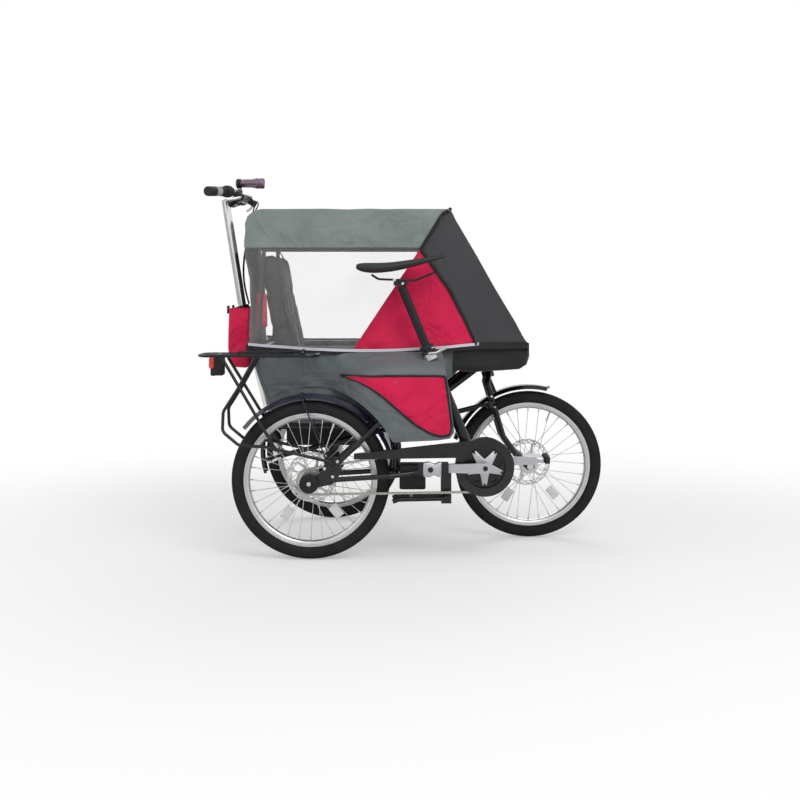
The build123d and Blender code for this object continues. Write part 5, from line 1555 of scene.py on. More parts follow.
course = chain_course()
pitch = 0.0127
half_pitch = pitch / 2
link_outline = []
for end in (1, -1):
    for k in range(5):
        angle = math.radians(-70 + 35 * k)
        link_outline.append((end * (half_pitch + 0.0040 * math.cos(angle)), end * 0.0040 * math.sin(angle)))
    link_outline.append((0.0, end * 0.0029))
links = []
for k, point in enumerate(course):
    nxt = course[(k + 1) % len(course)]
    run = nxt - point
    middle = (point + nxt) / 2
    gap = 0.0034 if k % 2 else 0.0022
    turn = Matrix.Rotation(-math.atan2(run.y, run.x), 4, "Y")
    for side in (-1, 1):
        link = plate("link", link_outline, side * gap - 0.0005, side * gap + 0.0005)
        links.append(move_mesh(link, Matrix.Translation((middle.x, CHAIN_Y, middle.y)) @ turn))
    start_clean()
    bpy.ops.mesh.primitive_cylinder_add(vertices=8, radius=0.0032, depth=0.0068, rotation=(math.radians(90), 0, 0))
    roller = centred(bpy.context.active_object)
    links.append(move_mesh(roller, Matrix.Translation((point.x, CHAIN_Y, point.y))))
link_chain = join_all("link_chain", links)
smooth_shade(link_chain, 30)
finish_piece(link_chain, chain_steel, "chassis", "chain_steel", "chain")
print("chain", len(course), "links")

# %% [markdown]
# ### Folded pedal
# The pedal's bright body has two lobes beside a black bearing cap. Its outer end is ribbed rubber.

# %% Pedals
PEDAL_Y_LOW, PEDAL_Y_HIGH = -0.4275, -0.4005
casting = plate(
    "pedal_casting",
    [(0.044, 0.275), (0.062, 0.2735), (0.076, 0.281), (0.090, 0.2745), (0.100, 0.2745), (0.100, 0.3195), (0.090, 0.3195), (0.076, 0.313), (0.062, 0.3205), (0.044, 0.319), (0.040, 0.297)],
    PEDAL_Y_LOW + 0.004,
    PEDAL_Y_HIGH,
)
round_edges(casting, lambda a, b: True, 0.0022, 2)
smooth_shade(casting, 40)
finish_piece(casting, cast_silver, "crank", "alloy")
rubber = rounded_box("pedal_rubber", (0.0985, PEDAL_Y_LOW, 0.2745), (0.1205, PEDAL_Y_HIGH, 0.3195), 0.003)
rear_rubber = rounded_box("pedal_rubber_rear", (0.0275, PEDAL_Y_LOW + 0.002, 0.2790), (0.0425, PEDAL_Y_HIGH, 0.3150), 0.003)
treads = [rubber, rear_rubber]
for k in range(4):
    low = 0.279 + 0.0105 * k
    treads.append(rounded_box("rib", (0.1005, PEDAL_Y_LOW - 0.0012, low), (0.1190, PEDAL_Y_LOW + 0.002, low + 0.005), 0.0008, 2))
start_clean()
bpy.ops.mesh.primitive_cylinder_add(vertices=24, radius=0.0085, depth=0.006, location=(0.065, PEDAL_Y_LOW + 0.004, BRACKET_Z), rotation=(math.radians(90), 0, 0))
cap = centred(bpy.context.active_object)
round_edges(cap, lambda a, b: a.y < PEDAL_Y_LOW + 0.0015 and b.y < PEDAL_Y_LOW + 0.0015, 0.0015, 2)
treads.append(cap)
pedal_rubber = join_all("right_pedal_rubber", treads)
smooth_shade(pedal_rubber, 35)
finish_piece(pedal_rubber, hard_rubber, "crank", "black_plastic", "right_pedal")

left_body = rounded_box("left_body", (0.372, -0.2215, 0.2885), (0.438, -0.1295, 0.3055), 0.005)
finish_piece(left_body, cast_silver, "crank", "alloy", "left_pedal")
tread_bars = []
for x in (0.3525, 0.4405):
    tread_bars.append(rounded_box("bar", (x, -0.2225, 0.2860), (x + 0.0170, -0.1285, 0.3085), 0.004))
    for k in range(7):
        low = -0.2185 + 0.0125 * k
        tread_bars.append(rounded_box("rib", (x + 0.001, low, 0.2853), (x + 0.016, low + 0.006, 0.3090), 0.0008, 2))
left_treads = join_all("left_pedal_treads", tread_bars)
finish_piece(left_treads, hard_rubber, "crank", "black_plastic")
print("pedals made")

# %% [markdown]
# ## Saddle
# The saddle starts as a ring of twelve points that is drawn out through its stations, where the points
# are set: wide and lifted at the rear, slim at the nose, with a shallow middle channel. Subdivision
# makes it round. Two bright bolts hold the rails.

# %% Saddle
SADDLE_STATIONS = (
    # x, half width, top, bottom
    (-0.166, 0.046, 0.9300, 0.9120),
    (-0.150, 0.066, 0.9350, 0.9030),
    (-0.118, 0.076, 0.9350, 0.8985),
    (-0.080, 0.068, 0.9350, 0.9010),
    (-0.040, 0.048, 0.9385, 0.9060),
    (0.010, 0.031, 0.9455, 0.9180),
    (0.060, 0.023, 0.9530, 0.9330),
    (0.098, 0.019, 0.9585, 0.9440),
    (0.117, 0.012, 0.9585, 0.9500),
)
SADDLE_ROUND = ((0.0, 1.0), (0.42, 0.97), (0.80, 0.72), (1.0, 0.18), (0.92, -0.55), (0.66, -0.95), (0.30, -0.80))
start_clean()
bpy.ops.mesh.primitive_circle_add(vertices=12, radius=1.0, fill_type="NOTHING")
saddle_top = bpy.context.active_object
saddle_top.name = "saddle_top"


def saddle_ring(station):
    """The twelve points round the saddle at one station."""
    x, half, top, bottom = station
    middle, tall = (top + bottom) / 2, (top - bottom) / 2
    right = [(-out * half, middle + up * tall) for out, up in SADDLE_ROUND[1:]]
    left = [(out * half, middle + up * tall) for out, up in reversed(SADDLE_ROUND[1:])]
    points = [(0.0, top - 0.0035 if half > 0.02 else top)] + right + left
    return [(x, DRIVE_Y + y, z) for y, z in points[:12]]


first = saddle_ring(SADDLE_STATIONS[0])
for vertex, at in zip(saddle_top.data.vertices, first):
    vertex.co = at
for before, station in zip(SADDLE_STATIONS, SADDLE_STATIONS[1:]):
    count = len(saddle_top.data.vertices)
    bpy.ops.object.mode_set(mode="EDIT")
    bpy.ops.mesh.extrude_edges_move(TRANSFORM_OT_translate={"value": (station[0] - before[0], 0, 0)})
    bpy.ops.object.mode_set(mode="OBJECT")
    for vertex, at in zip(saddle_top.data.vertices[count:], saddle_ring(station)):
        vertex.co = at
for ends in (True, False):
    take(saddle_top)
    x_end = SADDLE_STATIONS[0][0] if ends else SADDLE_STATIONS[-1][0]
    bpy.ops.object.mode_set(mode="EDIT")
    bpy.ops.mesh.select_mode(type="VERT")
    bpy.ops.mesh.select_all(action="DESELECT")
    bpy.ops.object.mode_set(mode="OBJECT")
    for vertex in saddle_top.data.vertices:
        vertex.select = abs(vertex.co.x - x_end) < 0.0005
    bpy.ops.object.mode_set(mode="EDIT")
    bpy.ops.mesh.edge_face_add()
    bpy.ops.mesh.inset(thickness=0.006)
    bpy.ops.object.mode_set(mode="OBJECT")
recalculate(saddle_top)
saddle_round = saddle_top.modifiers.new("soft", "SUBSURF")
saddle_round.levels = 2
saddle_round.render_levels = 2
take(saddle_top)
bpy.ops.object.modifier_apply(modifier=saddle_round.name)
smooth_shade(saddle_top, 60)
finish_piece(saddle_top, saddle_skin, "chassis", "black_plastic", "saddle")
stitch = [(s[0], DRIVE_Y + side * s[1] * 0.93, s[2] - (s[2] - s[3]) * 0.34) for side in (-1,) for s in SADDLE_STATIONS[1:-1]]
edge_cords = []
for side in (-1, 1):
    edge = [(s[0], DRIVE_Y + side * s[1] * 1.0, (s[2] + s[3]) / 2 - 0.004) for s in SADDLE_STATIONS[1:-1]]
    edge_cords.append(cord_mesh("edge", lay_on(saddle_top, edge, 0.0), 0.0014))
saddle_edge = join_all("saddle_edge", edge_cords)
finish_piece(saddle_edge, hard_rubber, "chassis", "black_plastic")
seat_bolts = [bolt("bolt", (-0.046, -0.3338, 0.880), (0, -1, 0), 0.0060, 0.006), bolt("bolt", (-0.020, -0.3338, 0.868), (0, -1, 0), 0.0050, 0.005)]
clamp_rings = []
for z, r in ((0.668, 0.0225), (0.652, 0.0240)):
    collar = turned("collar", [(0.0138, -0.005), (r, -0.005), (r + 0.001, 0.0), (r, 0.005), (0.0138, 0.005)], 32)
    lean = Matrix.Rotation(math.radians(90), 4, "X")
    tilt = Matrix.Rotation(math.atan2(-142.5, 345), 4, "Y")
    along_mast = (z - 0.642) / 345.0 * -142.5
    clamp_rings.append(move_mesh(collar, Matrix.Translation((0.0665 + along_mast, DRIVE_Y, z)) @ tilt @ lean))
seat_bolt_set = join_all("seat_bolts", seat_bolts)
finish_piece(seat_bolt_set, steel, "chassis", "alloy")
mast_cuff = join_all("mast_cuff", clamp_rings)
smooth_shade(mast_cuff, 40)
finish_piece(mast_cuff, hard_rubber, "chassis", "black_plastic")
print("saddle", len(saddle_top.data.polygons), "faces")

# %% [markdown]
# ## Handlebar
# Grip, twist shifter and lever clamp are turned pieces on the bar's own line. The near grip has a
# pale band between its dark end and the dark shifter. The lamp is a ribbed tube with a flared head.

# %% Bar line
BAR_Z = 1.165
LAMP_Y = CABIN_Y - 0.060
LAMP_Z = BAR_Z + 0.042


def bar_end(side):
    """The bar's end on one side, and the direction along the bar to the middle."""
    end = Vector((-0.640, CABIN_Y + side * 0.300, BAR_Z - 0.002))
    inner = Vector((-0.560, CABIN_Y + side * 0.140, BAR_Z + 0.008))
    return end, (inner - end).normalized()


def on_line(start, direction):
    """The matrix that lays a piece turned about Y along a direction from start."""
    return Matrix.Translation(Vector(start)) @ Vector(direction).to_track_quat("Y", "Z").to_matrix().to_4x4()


# %% Grips and shifters
def ribbed(profile_start, profile_end, radius, count, depth, bore):
    """A sleeve's (radius, y) profile with rounded ribs."""
    profile = [(bore, profile_start), (radius - 0.002, profile_start), (radius - 0.0005, profile_start + 0.0015)]
    span = profile_end - profile_start - 0.006
    for k in range(count):
        low = profile_start + 0.003 + span * k / count
        step = span / count
        profile += [(radius, low + step * 0.15), (radius, low + step * 0.6), (radius - depth, low + step * 0.75)]
    profile += [(radius - 0.0005, profile_end - 0.0015), (radius - 0.002, profile_end), (bore, profile_end)]
    return profile


dark_grips = []
pale_bands = []
lever_bodies = []
for side in (-1, 1):
    end, inward = bar_end(side)
    place = on_line(end, inward)
    cap = turned("cap", [(0.0002, -0.0060), (0.0120, -0.0060), (0.0150, -0.0040), (0.0160, 0.0), (0.0158, 0.034), (0.0002, 0.034)], 32)
    pale = turned("pale", ribbed(0.034, 0.064, 0.0157, 4, 0.0009, 0.0112), 40)
    sleeve = turned("sleeve", ribbed(0.064, 0.0915, 0.0157, 4, 0.0008, 0.0112), 40)
    shifter = turned("shifter", [(0.0113, 0.0920), (0.0165, 0.0920), (0.0188, 0.0955), (0.0198, 0.1010), (0.0200, 0.1090), (0.0192, 0.1180), (0.0176, 0.1240), (0.0160, 0.1262), (0.0113, 0.1262)], 36)
    for piece in (cap, sleeve, shifter):
        dark_grips.append(move_mesh(piece, place))
    pale_bands.append(move_mesh(pale, place))
    clamp = turned("clamp", [(0.0113, 0.1285), (0.0150, 0.1285), (0.0160, 0.1305), (0.0160, 0.1435), (0.0150, 0.1455), (0.0113, 0.1455)], 32)
    lever_bodies.append(move_mesh(clamp, place))
    forward = Vector((0.86, 0, -0.5))
    low = end + inward * 0.137 + forward * 0.010
    body = rounded_box("body", (-0.0085, -0.011, 0.0), (0.0085, 0.011, 0.034), 0.004)
    lever_bodies.append(move_mesh(body, aim(low, low + forward)))
    barrel = turned("barrel", [(0.0025, 0.0), (0.0045, 0.0), (0.0045, 0.011), (0.0036, 0.014), (0.0025, 0.014)], 16)
    lever_bodies.append(move_mesh(barrel, on_line(low + forward * 0.020 + inward * 0.009, inward)))
grip_set = join_all("grip_set", dark_grips)
smooth_shade(grip_set, 30)
finish_piece(grip_set, hard_rubber, "handlebar", "black_plastic", "grips")
pale_set = join_all("grip_bands", pale_bands)
smooth_shade(pale_set, 30)
finish_piece(pale_set, grip_grey, "handlebar", "black_plastic")
lever_set = join_all("lever_bodies", lever_bodies)
smooth_shade(lever_set, 35)
finish_piece(lever_set, dark_steel, "handlebar", "black_plastic")

# %% Lamp
lamp_body = turned(
    "lamp_body",
    [
        (0.0002, 0.000), (0.0110, 0.000), (0.0132, 0.0015), (0.0142, 0.004), (0.0142, 0.010),
        (0.0132, 0.011), (0.0132, 0.013), (0.0142, 0.014), (0.0142, 0.020), (0.0132, 0.021),
        (0.0132, 0.023), (0.0142, 0.024), (0.0142, 0.052), (0.0150, 0.058), (0.0170, 0.066),
        (0.0178, 0.070), (0.0178, 0.078), (0.0166, 0.079), (0.0166, 0.081), (0.0178, 0.082),
        (0.0178, 0.0945), (0.0168, 0.0955), (0.0155, 0.0955), (0.0150, 0.088), (0.0002, 0.088),
    ],
    40,
)
move_mesh(lamp_body, on_line((-0.582, LAMP_Y, LAMP_Z), (1, 0, 0)))
smooth_shade(lamp_body, 30)
finish_piece(lamp_body, lamp_purple, "handlebar", "black_plastic", "headlamp")
lamp_glass = turned("lamp_glass", [(0.0002, 0.0885), (0.0149, 0.0885), (0.0149, 0.0915), (0.0110, 0.0935), (0.0002, 0.0942)], 32)
move_mesh(lamp_glass, on_line((-0.582, LAMP_Y, LAMP_Z), (1, 0, 0)))
smooth_shade(lamp_glass, 50)
finish_piece(lamp_glass, silver_tape, "handlebar", "black_plastic")
lamp_foot = [
    rounded_box("foot", (-0.582, LAMP_Y - 0.0075, BAR_Z + 0.006), (-0.563, LAMP_Y + 0.0075, LAMP_Z - 0.012), 0.003),
    move_mesh(turned("strap", [(0.0113, -0.008), (0.0138, -0.008), (0.0145, 0.0), (0.0138, 0.008), (0.0113, 0.008)], 32), on_line((-0.576, LAMP_Y, BAR_Z + 0.0010), (-0.08, 1, -0.02))),
    move_mesh(turned("belt", [(0.0143, -0.007), (0.0152, -0.007), (0.0155, 0.0), (0.0152, 0.007), (0.0143, 0.007)], 32), on_line((-0.572, LAMP_Y, LAMP_Z), (1, 0, 0))),
]
lamp_mount = join_all("lamp_mount", lamp_foot)
smooth_shade(lamp_mount, 35)
finish_piece(lamp_mount, black_plastic, "handlebar", "black_plastic")
print("bar dressed")

# %% [markdown]
# ### Cables
# Each brake cable leaves its lever, loops ahead of the bar and then runs down close to the pole, so
# that it turns with the bar and clears the canopy. A third runs down the fork to the caliper. The
# cable is a curve on a few listed points.

# %% Cables
def held_cable(name, points, radius, body):
    """A cable that the machine holds at both ends, as a bevelled curve."""
    line = bpy.data.curves.new(name, "CURVE")
    line.dimensions = "3D"
    spline = line.splines.new("NURBS")
    spline.points.add(len(points) - 1)
    for point, at in zip(spline.points, points):
        point.co = (*at, 1)
    spline.order_u = 3
    spline.use_endpoint_u = True
    spline.resolution_u = 8
    made = bpy.data.objects.new(name, line)
    bpy.context.scene.collection.objects.link(made)
    bpy.context.view_layer.update()
    bare = bpy.data.meshes.new_from_object(made)
    line.bevel_depth = radius
    line.bevel_resolution = 2
    line.use_fill_caps = True
    line.materials.append(black_plastic)
    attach(made, body)
    return made


CABLE_ROUTE = [
    (-0.5700, -0.1690, 1.1650),
    (-0.5560, -0.1500, 1.1640),
    (-0.5360, -0.1210, 1.1590),
    (-0.5220, -0.0880, 1.1500),
    (-0.5200, -0.0530, 1.1390),
    (-0.5260, -0.0260, 1.1200),
    (-0.5370, -0.0160, 1.0880),
    (-0.5450, -0.0120, 1.0450),
    (-0.5550, -0.0100, 0.9980),
    (-0.5630, -0.0090, 0.9500),
    (-0.5650, -0.0080, 0.9020),
    (-0.5600, -0.0070, 0.8560),
    (-0.5500, -0.0060, 0.8150),
    (-0.5450, -0.0050, 0.7980),
]
for side, label in ((-1, "right"), (1, "left")):
    route = [(x, CABIN_Y + side * -y, z) for x, y, z in CABLE_ROUTE]
    held_cable(f"{label}_brake_cable", route, 0.0024, "handlebar")
HOSE_ROUTE = [
    (0.2840, 0.0800, 0.5480),
    (0.2850, 0.0860, 0.5250),
    (0.2930, 0.0880, 0.4900),
    (0.3040, 0.0880, 0.4500),
    (0.3170, 0.0870, 0.4080),
    (0.3290, 0.0840, 0.3680),
    (0.3390, 0.0770, 0.3340),
    (0.3430, 0.0680, 0.3110),
]
held_cable("fork_hose", HOSE_ROUTE, 0.0024, "front_fork")

# %% [markdown]
# ## Lamp, rack and small hard parts
# The tail lamp has an orange-red lens over a dark body. The rack carries a sprung clip. Calipers,
# axle caps, the control box and the mudguard's lip get the rounded edges and bolts that they have.

# %% Tail lamp and rack clip
lamp_back = rounded_box("lamp_back", (-0.612, -0.336, 0.579), (-0.583, -0.286, 0.638), 0.006)
lamp_chin = rounded_box("lamp_chin", (-0.624, -0.334, 0.578), (-0.606, -0.288, 0.602), 0.005)
tail_body = join_all("tail_body", [lamp_back, lamp_chin])
finish_piece(tail_body, black_plastic, "chassis", "black_plastic", "tail_lamp")
tail_lens = rounded_box("tail_lens", (-0.6295, -0.335, 0.600), (-0.6105, -0.287, 0.637), 0.007, 4)
finish_piece(tail_lens, red_lens, "chassis", "red_lens")
coil = []
for k in range(73):
    angle = 2 * math.pi * k / 9
    coil.append((-0.334 + 0.0060 * math.cos(angle), DRIVE_Y - 0.020 + 0.040 * k / 72, 0.6545 + 0.0060 * math.sin(angle)))
spring = cord_mesh("rack_spring", coil, 0.0011)
clip_bar = cord_mesh("clip_bar", [(-0.334, DRIVE_Y - 0.056, 0.651), (-0.334, DRIVE_Y - 0.030, 0.6545), (-0.334, DRIVE_Y + 0.030, 0.6545), (-0.334, DRIVE_Y + 0.056, 0.651)], 0.0030, False)
clip_loop = cord_mesh("clip_loop", [(-0.334, DRIVE_Y - 0.024, 0.656), (-0.400, DRIVE_Y - 0.026, 0.652), (-0.520, DRIVE_Y - 0.026, 0.6515), (-0.540, DRIVE_Y - 0.014, 0.6515), (-0.540, DRIVE_Y + 0.014, 0.6515), (-0.520, DRIVE_Y + 0.026, 0.6515), (-0.400, DRIVE_Y + 0.026, 0.652), (-0.334, DRIVE_Y + 0.024, 0.656)], 0.0026)
rack_clip = join_all("rack_clip", [spring, clip_bar, clip_loop])
finish_piece(rack_clip, dark_steel, "chassis", "black_metal")

# %% Caliper, caps, box and lip
caliper_parts = [
    rounded_box("outer", (0.323, 0.0570, 0.278), (0.359, 0.0662, 0.310), 0.004),
    rounded_box("inner", (0.323, 0.0698, 0.278), (0.359, 0.0768, 0.310), 0.003),
    rounded_box("bridge", (0.3225, 0.0600, 0.296), (0.338, 0.0750, 0.3105), 0.003),
]
caliper = join_all("caliper_body", caliper_parts)
finish_piece(caliper, black_enamel, "front_fork", "black_metal", "front_caliper")
box_parts = [rounded_box("box", (-0.030, -0.3438, 0.2228), (0.052, -0.2782, 0.3012), 0.006)]
for k in range(5):
    x = -0.022 + 0.014 * k
    box_parts.append(rounded_box("rib", (x, -0.3455, 0.232), (x + 0.006, -0.342, 0.270), 0.0009, 2))
box_parts.append(rounded_box("plug", (-0.040, -0.330, 0.278), (-0.028, -0.312, 0.292), 0.003))
box_parts.append(rounded_box("plug", (-0.040, -0.305, 0.278), (-0.028, -0.290, 0.292), 0.003))
control_box = join_all("control_box", box_parts)
finish_piece(control_box, black_plastic, "chassis", "black_plastic", "controller_box")
axle_cap = turned("axle_cap", [(0.0002, -0.4035), (0.0125, -0.4035), (0.0135, -0.4025), (0.0200, -0.4025), (0.0205, -0.4035), (0.0285, -0.4030), (0.0300, -0.4010), (0.0300, -0.3970), (0.0002, -0.3970)], 48)
move_mesh(axle_cap, Matrix.Translation((DRIVE_X, 0, WHEEL_R)))
smooth_shade(axle_cap, 30)
finish_piece(axle_cap, black_plastic, "chassis", "black_metal")
small_bolts = [bolt("bolt", (DRIVE_X, -0.4033, WHEEL_R), (0, -1, 0), 0.0075, 0.006)]
for x, z in ((-0.262, 0.296), (-0.237, 0.271), (-0.222, 0.318)):
    small_bolts.append(bolt("bolt", (x, -0.3905, z), (0, -1, 0), 0.0055, 0.004))
chassis_bolts = join_all("dropout_bolts", small_bolts)
smooth_shade(chassis_bolts, 30)
finish_piece(chassis_bolts, steel, "chassis", "alloy")
fork_bolts = [bolt("bolt", (x, CABIN_Y - 0.0675, z), (0, -1, 0), 0.0048, 0.004) for x, z in ((0.2815, 0.486), (0.2920, 0.452))]
fork_bolt_set = join_all("fork_bolts", fork_bolts)
smooth_shade(fork_bolt_set, 30)
finish_piece(fork_bolt_set, steel, "front_fork", "chrome")
lip_outline = [(0.4690, 0.5100), (0.4760, 0.5075), (0.4830, 0.5105), (0.4865, 0.5160), (0.4845, 0.5172), (0.4800, 0.5135), (0.4740, 0.5125), (0.4700, 0.5150)]
mudguard_lip = plate("mudguard_lip", lip_outline, CABIN_Y - 0.019, CABIN_Y + 0.019)
round_edges(mudguard_lip, lambda a, b: True, 0.0006, 2)
smooth_shade(mudguard_lip, 40)
finish_piece(mudguard_lip, black_enamel, "front_fork", "black_metal")
for label, x, y, body in (("front", FRONT_X, CABIN_Y, "front_wheel"), ("drive", DRIVE_X, DRIVE_Y, "drive_wheel")):
    marks = []
    for degrees in (235, 310):
        mark = rounded_box("mark", (0.104, -0.0075, -0.014), (0.148, -0.0035, 0.014), 0.0018, 2)
        move_mesh(mark, Matrix.Rotation(math.radians(-degrees), 4, "Y"))
        marks.append(move_mesh(mark, Matrix.Translation((x, y - 0.010, WHEEL_R))))
    reflectors = join_all(f"{label}_reflectors", marks)
    finish_piece(reflectors, clear_mark, body, "alloy")
print("small parts made")

# %% [markdown]
# ## Seat
# Back and cushion are padded covers. Each starts a little small, is remeshed evenly and is blown up
# as cloth, with a cap on how far a point may move. Sewn channels are pressed in afterwards,
# because the remesh would have lost them.

# %% Padded covers
def padded_cover(name, outline, y_low, y_high, shrink, cap, voxel=0.0065):
    """A blown-up cover in the shape of a side outline, with its corners drawn in."""
    middle = (sum(x for x, z in outline) / len(outline), sum(z for x, z in outline) / len(outline))
    smaller = []
    for x, z in outline:
        off = Vector((x - middle[0], z - middle[1]))
        off = off * max(0.0, 1 - shrink / max(off.length, 1e-6))
        smaller.append((middle[0] + off.x, middle[1] + off.y))
    made = plate(name, smaller, y_low + shrink, y_high - shrink)
    round_edges(made, lambda a, b: True, 0.010, 2)
    take(made)
    even = made.modifiers.new("even", "REMESH")
    even.mode = "VOXEL"
    even.voxel_size = voxel
    bpy.ops.object.modifier_apply(modifier=even.name)
    start = [v.co.copy() for v in made.data.vertices]
    blow = made.modifiers.new("blow", "CLOTH")
    blow.settings.use_pressure = True
    blow.settings.uniform_pressure_force = 4.0
    blow.settings.effector_weights.gravity = 0.0
    blow.settings.quality = 4
    scene = bpy.context.scene
    for step in range(1, 21):
        scene.frame_set(step)
    take(made)
    bpy.ops.object.modifier_apply(modifier=blow.name)
    scene.frame_set(1)
    for vertex, before in zip(made.data.vertices, start):
        move = vertex.co - before
        if move.length > cap:
            vertex.co = before + move.normalized() * cap
    return made


def press_channels(piece, lines, depth, width):
    """Presses sewn channels into a cover: each line is a test that gives a distance to it."""
    for vertex in piece.data.vertices:
        near = min(line(vertex.co) for line in lines)
        vertex.co -= vertex.normal * depth * math.exp(-((near / width) ** 2))


SEAT_BACK = [(-0.396, 0.4785), (-0.352, 0.4785), (-0.440, 0.978), (-0.484, 0.973)]
SEAT_CUSHION = [(-0.345, 0.4290), (-0.102, 0.4290), (-0.094, 0.4980), (-0.345, 0.4765)]
back_pad = padded_cover("back_pad", SEAT_BACK, CABIN_Y - 0.215, CABIN_Y + 0.215, 0.008, 0.012)
press_channels(
    back_pad,
    [lambda co, z=z: abs(co.z - z) for z in (0.60, 0.72, 0.84)] + [lambda co, s=s: abs(co.y - CABIN_Y - s * 0.150) for s in (-1, 1)],
    0.006,
    0.009,
)
seat_pad = padded_cover("seat_pad", SEAT_CUSHION, CABIN_Y - 0.215, CABIN_Y + 0.215, 0.008, 0.012)
press_channels(seat_pad, [lambda co, x=x: abs(co.x - x) for x in (-0.265, -0.185)], 0.005, 0.009)
for pad, node, fill in ((back_pad, "seat_back", 0.6), (seat_pad, "seat_cushion", 0.7)):
    take(pad)
    finer = pad.modifiers.new("finer", "SUBSURF")
    finer.levels = 1
    finer.render_levels = 1
    bpy.ops.object.modifier_apply(modifier=finer.name)
    smooth_shade(pad, 60)
    finish_piece(pad, pad_cloth, "chassis", "black_cloth" if node == "seat_cushion" else "grey_cloth", node)
side_pad = padded_cover("red_side_pad", [(-0.502, 0.720), (-0.458, 0.720), (-0.462, 0.842), (-0.500, 0.842)], CABIN_Y - 0.214, CABIN_Y - 0.192, 0.004, 0.006, 0.004)
smooth_shade(side_pad, 60)
finish_piece(side_pad, red_cloth, "chassis", "red_cloth")
print("pads", len(back_pad.data.polygons), len(seat_pad.data.polygons))

# %% [markdown]
# ### Harness
# Two shoulder straps lie on the back, and two lap straps loop forward over the cushion. A strap is
# a flat strip that follows a few points, with a little twist, given a webbing's thickness.

# %% Straps
def strap(name, points, width, turn=0.0):
    """A flat webbing strip along the points, its width across the cabin."""
    path = bpy.data.curves.new(name, "CURVE")
    path.dimensions = "3D"
    spline = path.splines.new("NURBS")
    spline.points.add(len(points) - 1)
    for point, at in zip(spline.points, points):
        point.co = (*at, 1)
    spline.order_u = 3
    spline.use_endpoint_u = True
    spline.resolution_u = 6
    guide = bpy.data.objects.new(name, path)
    bpy.context.scene.collection.objects.link(guide)
    bpy.context.view_layer.update()
    course = [v.co.copy() for v in bpy.data.meshes.new_from_object(guide).vertices]
    bpy.data.objects.remove(guide)
    start_clean()
    bpy.ops.mesh.primitive_grid_add(x_subdivisions=len(course) - 1, y_subdivisions=2, size=1.0)
    made = bpy.context.active_object
    made.name = name
    for vertex in made.data.vertices:
        k = min(len(course) - 1, round((vertex.co.x + 0.5) * (len(course) - 1)))
        angle = turn * k / len(course)
        off = vertex.co.y * width
        vertex.co = course[k] + Vector((off * math.sin(angle), off * math.cos(angle), 0))
    thicken(made, 0.0016, 0.0)
    smooth_shade(made, 50)
    return made


straps = []
for side in (-1, 1):
    y = CABIN_Y + side * 0.075
    straps.append(strap("strap", [(-0.452, y, 0.985), (-0.425, y, 0.950), (-0.405, y, 0.850), (-0.380, y, 0.720), (-0.350, y, 0.590), (-0.320, y * 0.8, 0.520), (-0.290, y * 0.6, 0.507)], 0.034))
    y = CABIN_Y + side * 0.150
    straps.append(strap("strap", [(-0.395, y, 0.790), (-0.386, y, 0.740), (-0.374, y, 0.680), (-0.368, y, 0.610), (-0.352, y, 0.555), (-0.330, y, 0.520), (-0.280, y * 0.7, 0.508)], 0.028, 0.8 * side))
    straps.append(strap("strap", [(-0.410, y - 0.02, 0.830), (-0.398, y - 0.03, 0.770), (-0.382, y - 0.03, 0.715), (-0.366, y - 0.02, 0.640), (-0.352, y, 0.560), (-0.325, y, 0.512)], 0.026, -0.9 * side))
harness = join_all("harness", straps)
finish_piece(harness, black_cloth, "chassis", "black_cloth")
buckles = [
    rounded_box("buckle", (-0.300, CABIN_Y - 0.026, 0.505), (-0.250, CABIN_Y + 0.026, 0.522), 0.006),
    rounded_box("slide", (-0.402, CABIN_Y - 0.098, 0.742), (-0.388, CABIN_Y - 0.052, 0.768), 0.003),
    rounded_box("slide", (-0.402, CABIN_Y + 0.052, 0.742), (-0.388, CABIN_Y + 0.098, 0.768), 0.003),
]
buckle_set = join_all("harness_buckles", buckles)
finish_piece(buckle_set, black_plastic, "chassis", "black_plastic")

# %% [markdown]
# ## Rear pocket
# The pocket behind the cabin is a slack red bag: its faces bulge, its lower edge is rounded and its
# mouth is turned in under a hem.

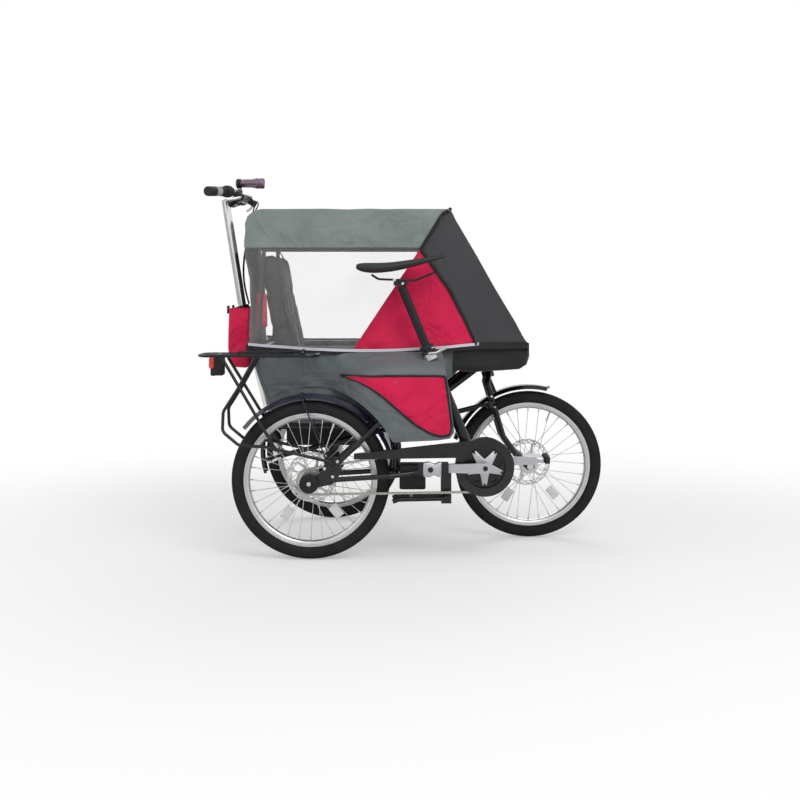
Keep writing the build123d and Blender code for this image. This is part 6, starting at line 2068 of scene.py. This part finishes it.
# %% Pocket
POCKET_LOW = (-0.588, -0.202, 0.594)
POCKET_HIGH = (-0.513, -0.016, 0.787)
pocket_outline = [(-0.515, 0.787), (-0.515, 0.600), (-0.528, 0.594), (-0.566, 0.596), (-0.582, 0.612), (-0.587, 0.660), (-0.584, 0.787)]
pocket = plate("pocket_bag", pocket_outline, POCKET_LOW[1] + 0.004, POCKET_HIGH[1] - 0.004)
round_edges(pocket, lambda a, b: abs(a.y - b.y) < 0.001 and not (a.z > 0.786 and b.z > 0.786), 0.010, 3)
cut_grid(pocket, 0.020, 0.018, 0.018)
merge_points(pocket, 0.0008)


def pocket_push(co):
    """The bag bulges in its middle and creases towards its corners."""
    share_y = (co.y - POCKET_LOW[1]) / (POCKET_HIGH[1] - POCKET_LOW[1])
    share_z = (co.z - POCKET_LOW[2]) / (POCKET_HIGH[2] - POCKET_LOW[2])
    swell = math.sin(math.pi * max(0.0, min(1.0, share_y))) * math.sin(math.pi * max(0.0, min(1.0, share_z)))
    return 0.003 * swell + 0.0030 * swell * crease(co.x + co.y, co.z, 1.1, 5.0, 24.0, 40.0)


drape(pocket, pocket_push)
pick_faces(pocket, lambda c, n: n.z > 0.9 and c.z > 0.78)
bpy.ops.mesh.inset(thickness=0.004)
bpy.ops.mesh.extrude_region_move(TRANSFORM_OT_translate={"value": (0, 0, -0.050)})
bpy.ops.object.mode_set(mode="OBJECT")
smooth_shade(pocket, 40)
finish_piece(pocket, red_cloth, "chassis", "red_cloth", "rear_pocket")
mouth = [(-0.5845, -0.197), (-0.5845, -0.021), (-0.5165, -0.021), (-0.5165, -0.197), (-0.5845, -0.197)]
hem_points = []
for (x0, y0), (x1, y1) in zip(mouth, mouth[1:]):
    hem_points += [(x0 + (x1 - x0) * k / 6, y0 + (y1 - y0) * k / 6, 0.785) for k in range(6)]
hem_points.append(hem_points[0])
pocket_hem = cord_mesh("pocket_hem", hem_points, 0.0026)
finish_piece(pocket_hem, red_cloth, "chassis", "red_cloth")
pocket_clips = []
for y in (-0.170, -0.048):
    pocket_clips.append(rounded_box("clip", (-0.5925, y - 0.012, 0.770), (-0.5860, y + 0.012, 0.796), 0.002, 2))
pocket_clip_set = join_all("pocket_clips", pocket_clips)
finish_piece(pocket_clip_set, black_plastic, "chassis", "black_plastic")
print("pocket made")

# %% [markdown]
# ### Bounds
# The bounds of every shown piece, without the floor, are measured.

# %% Bounds
low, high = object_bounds()
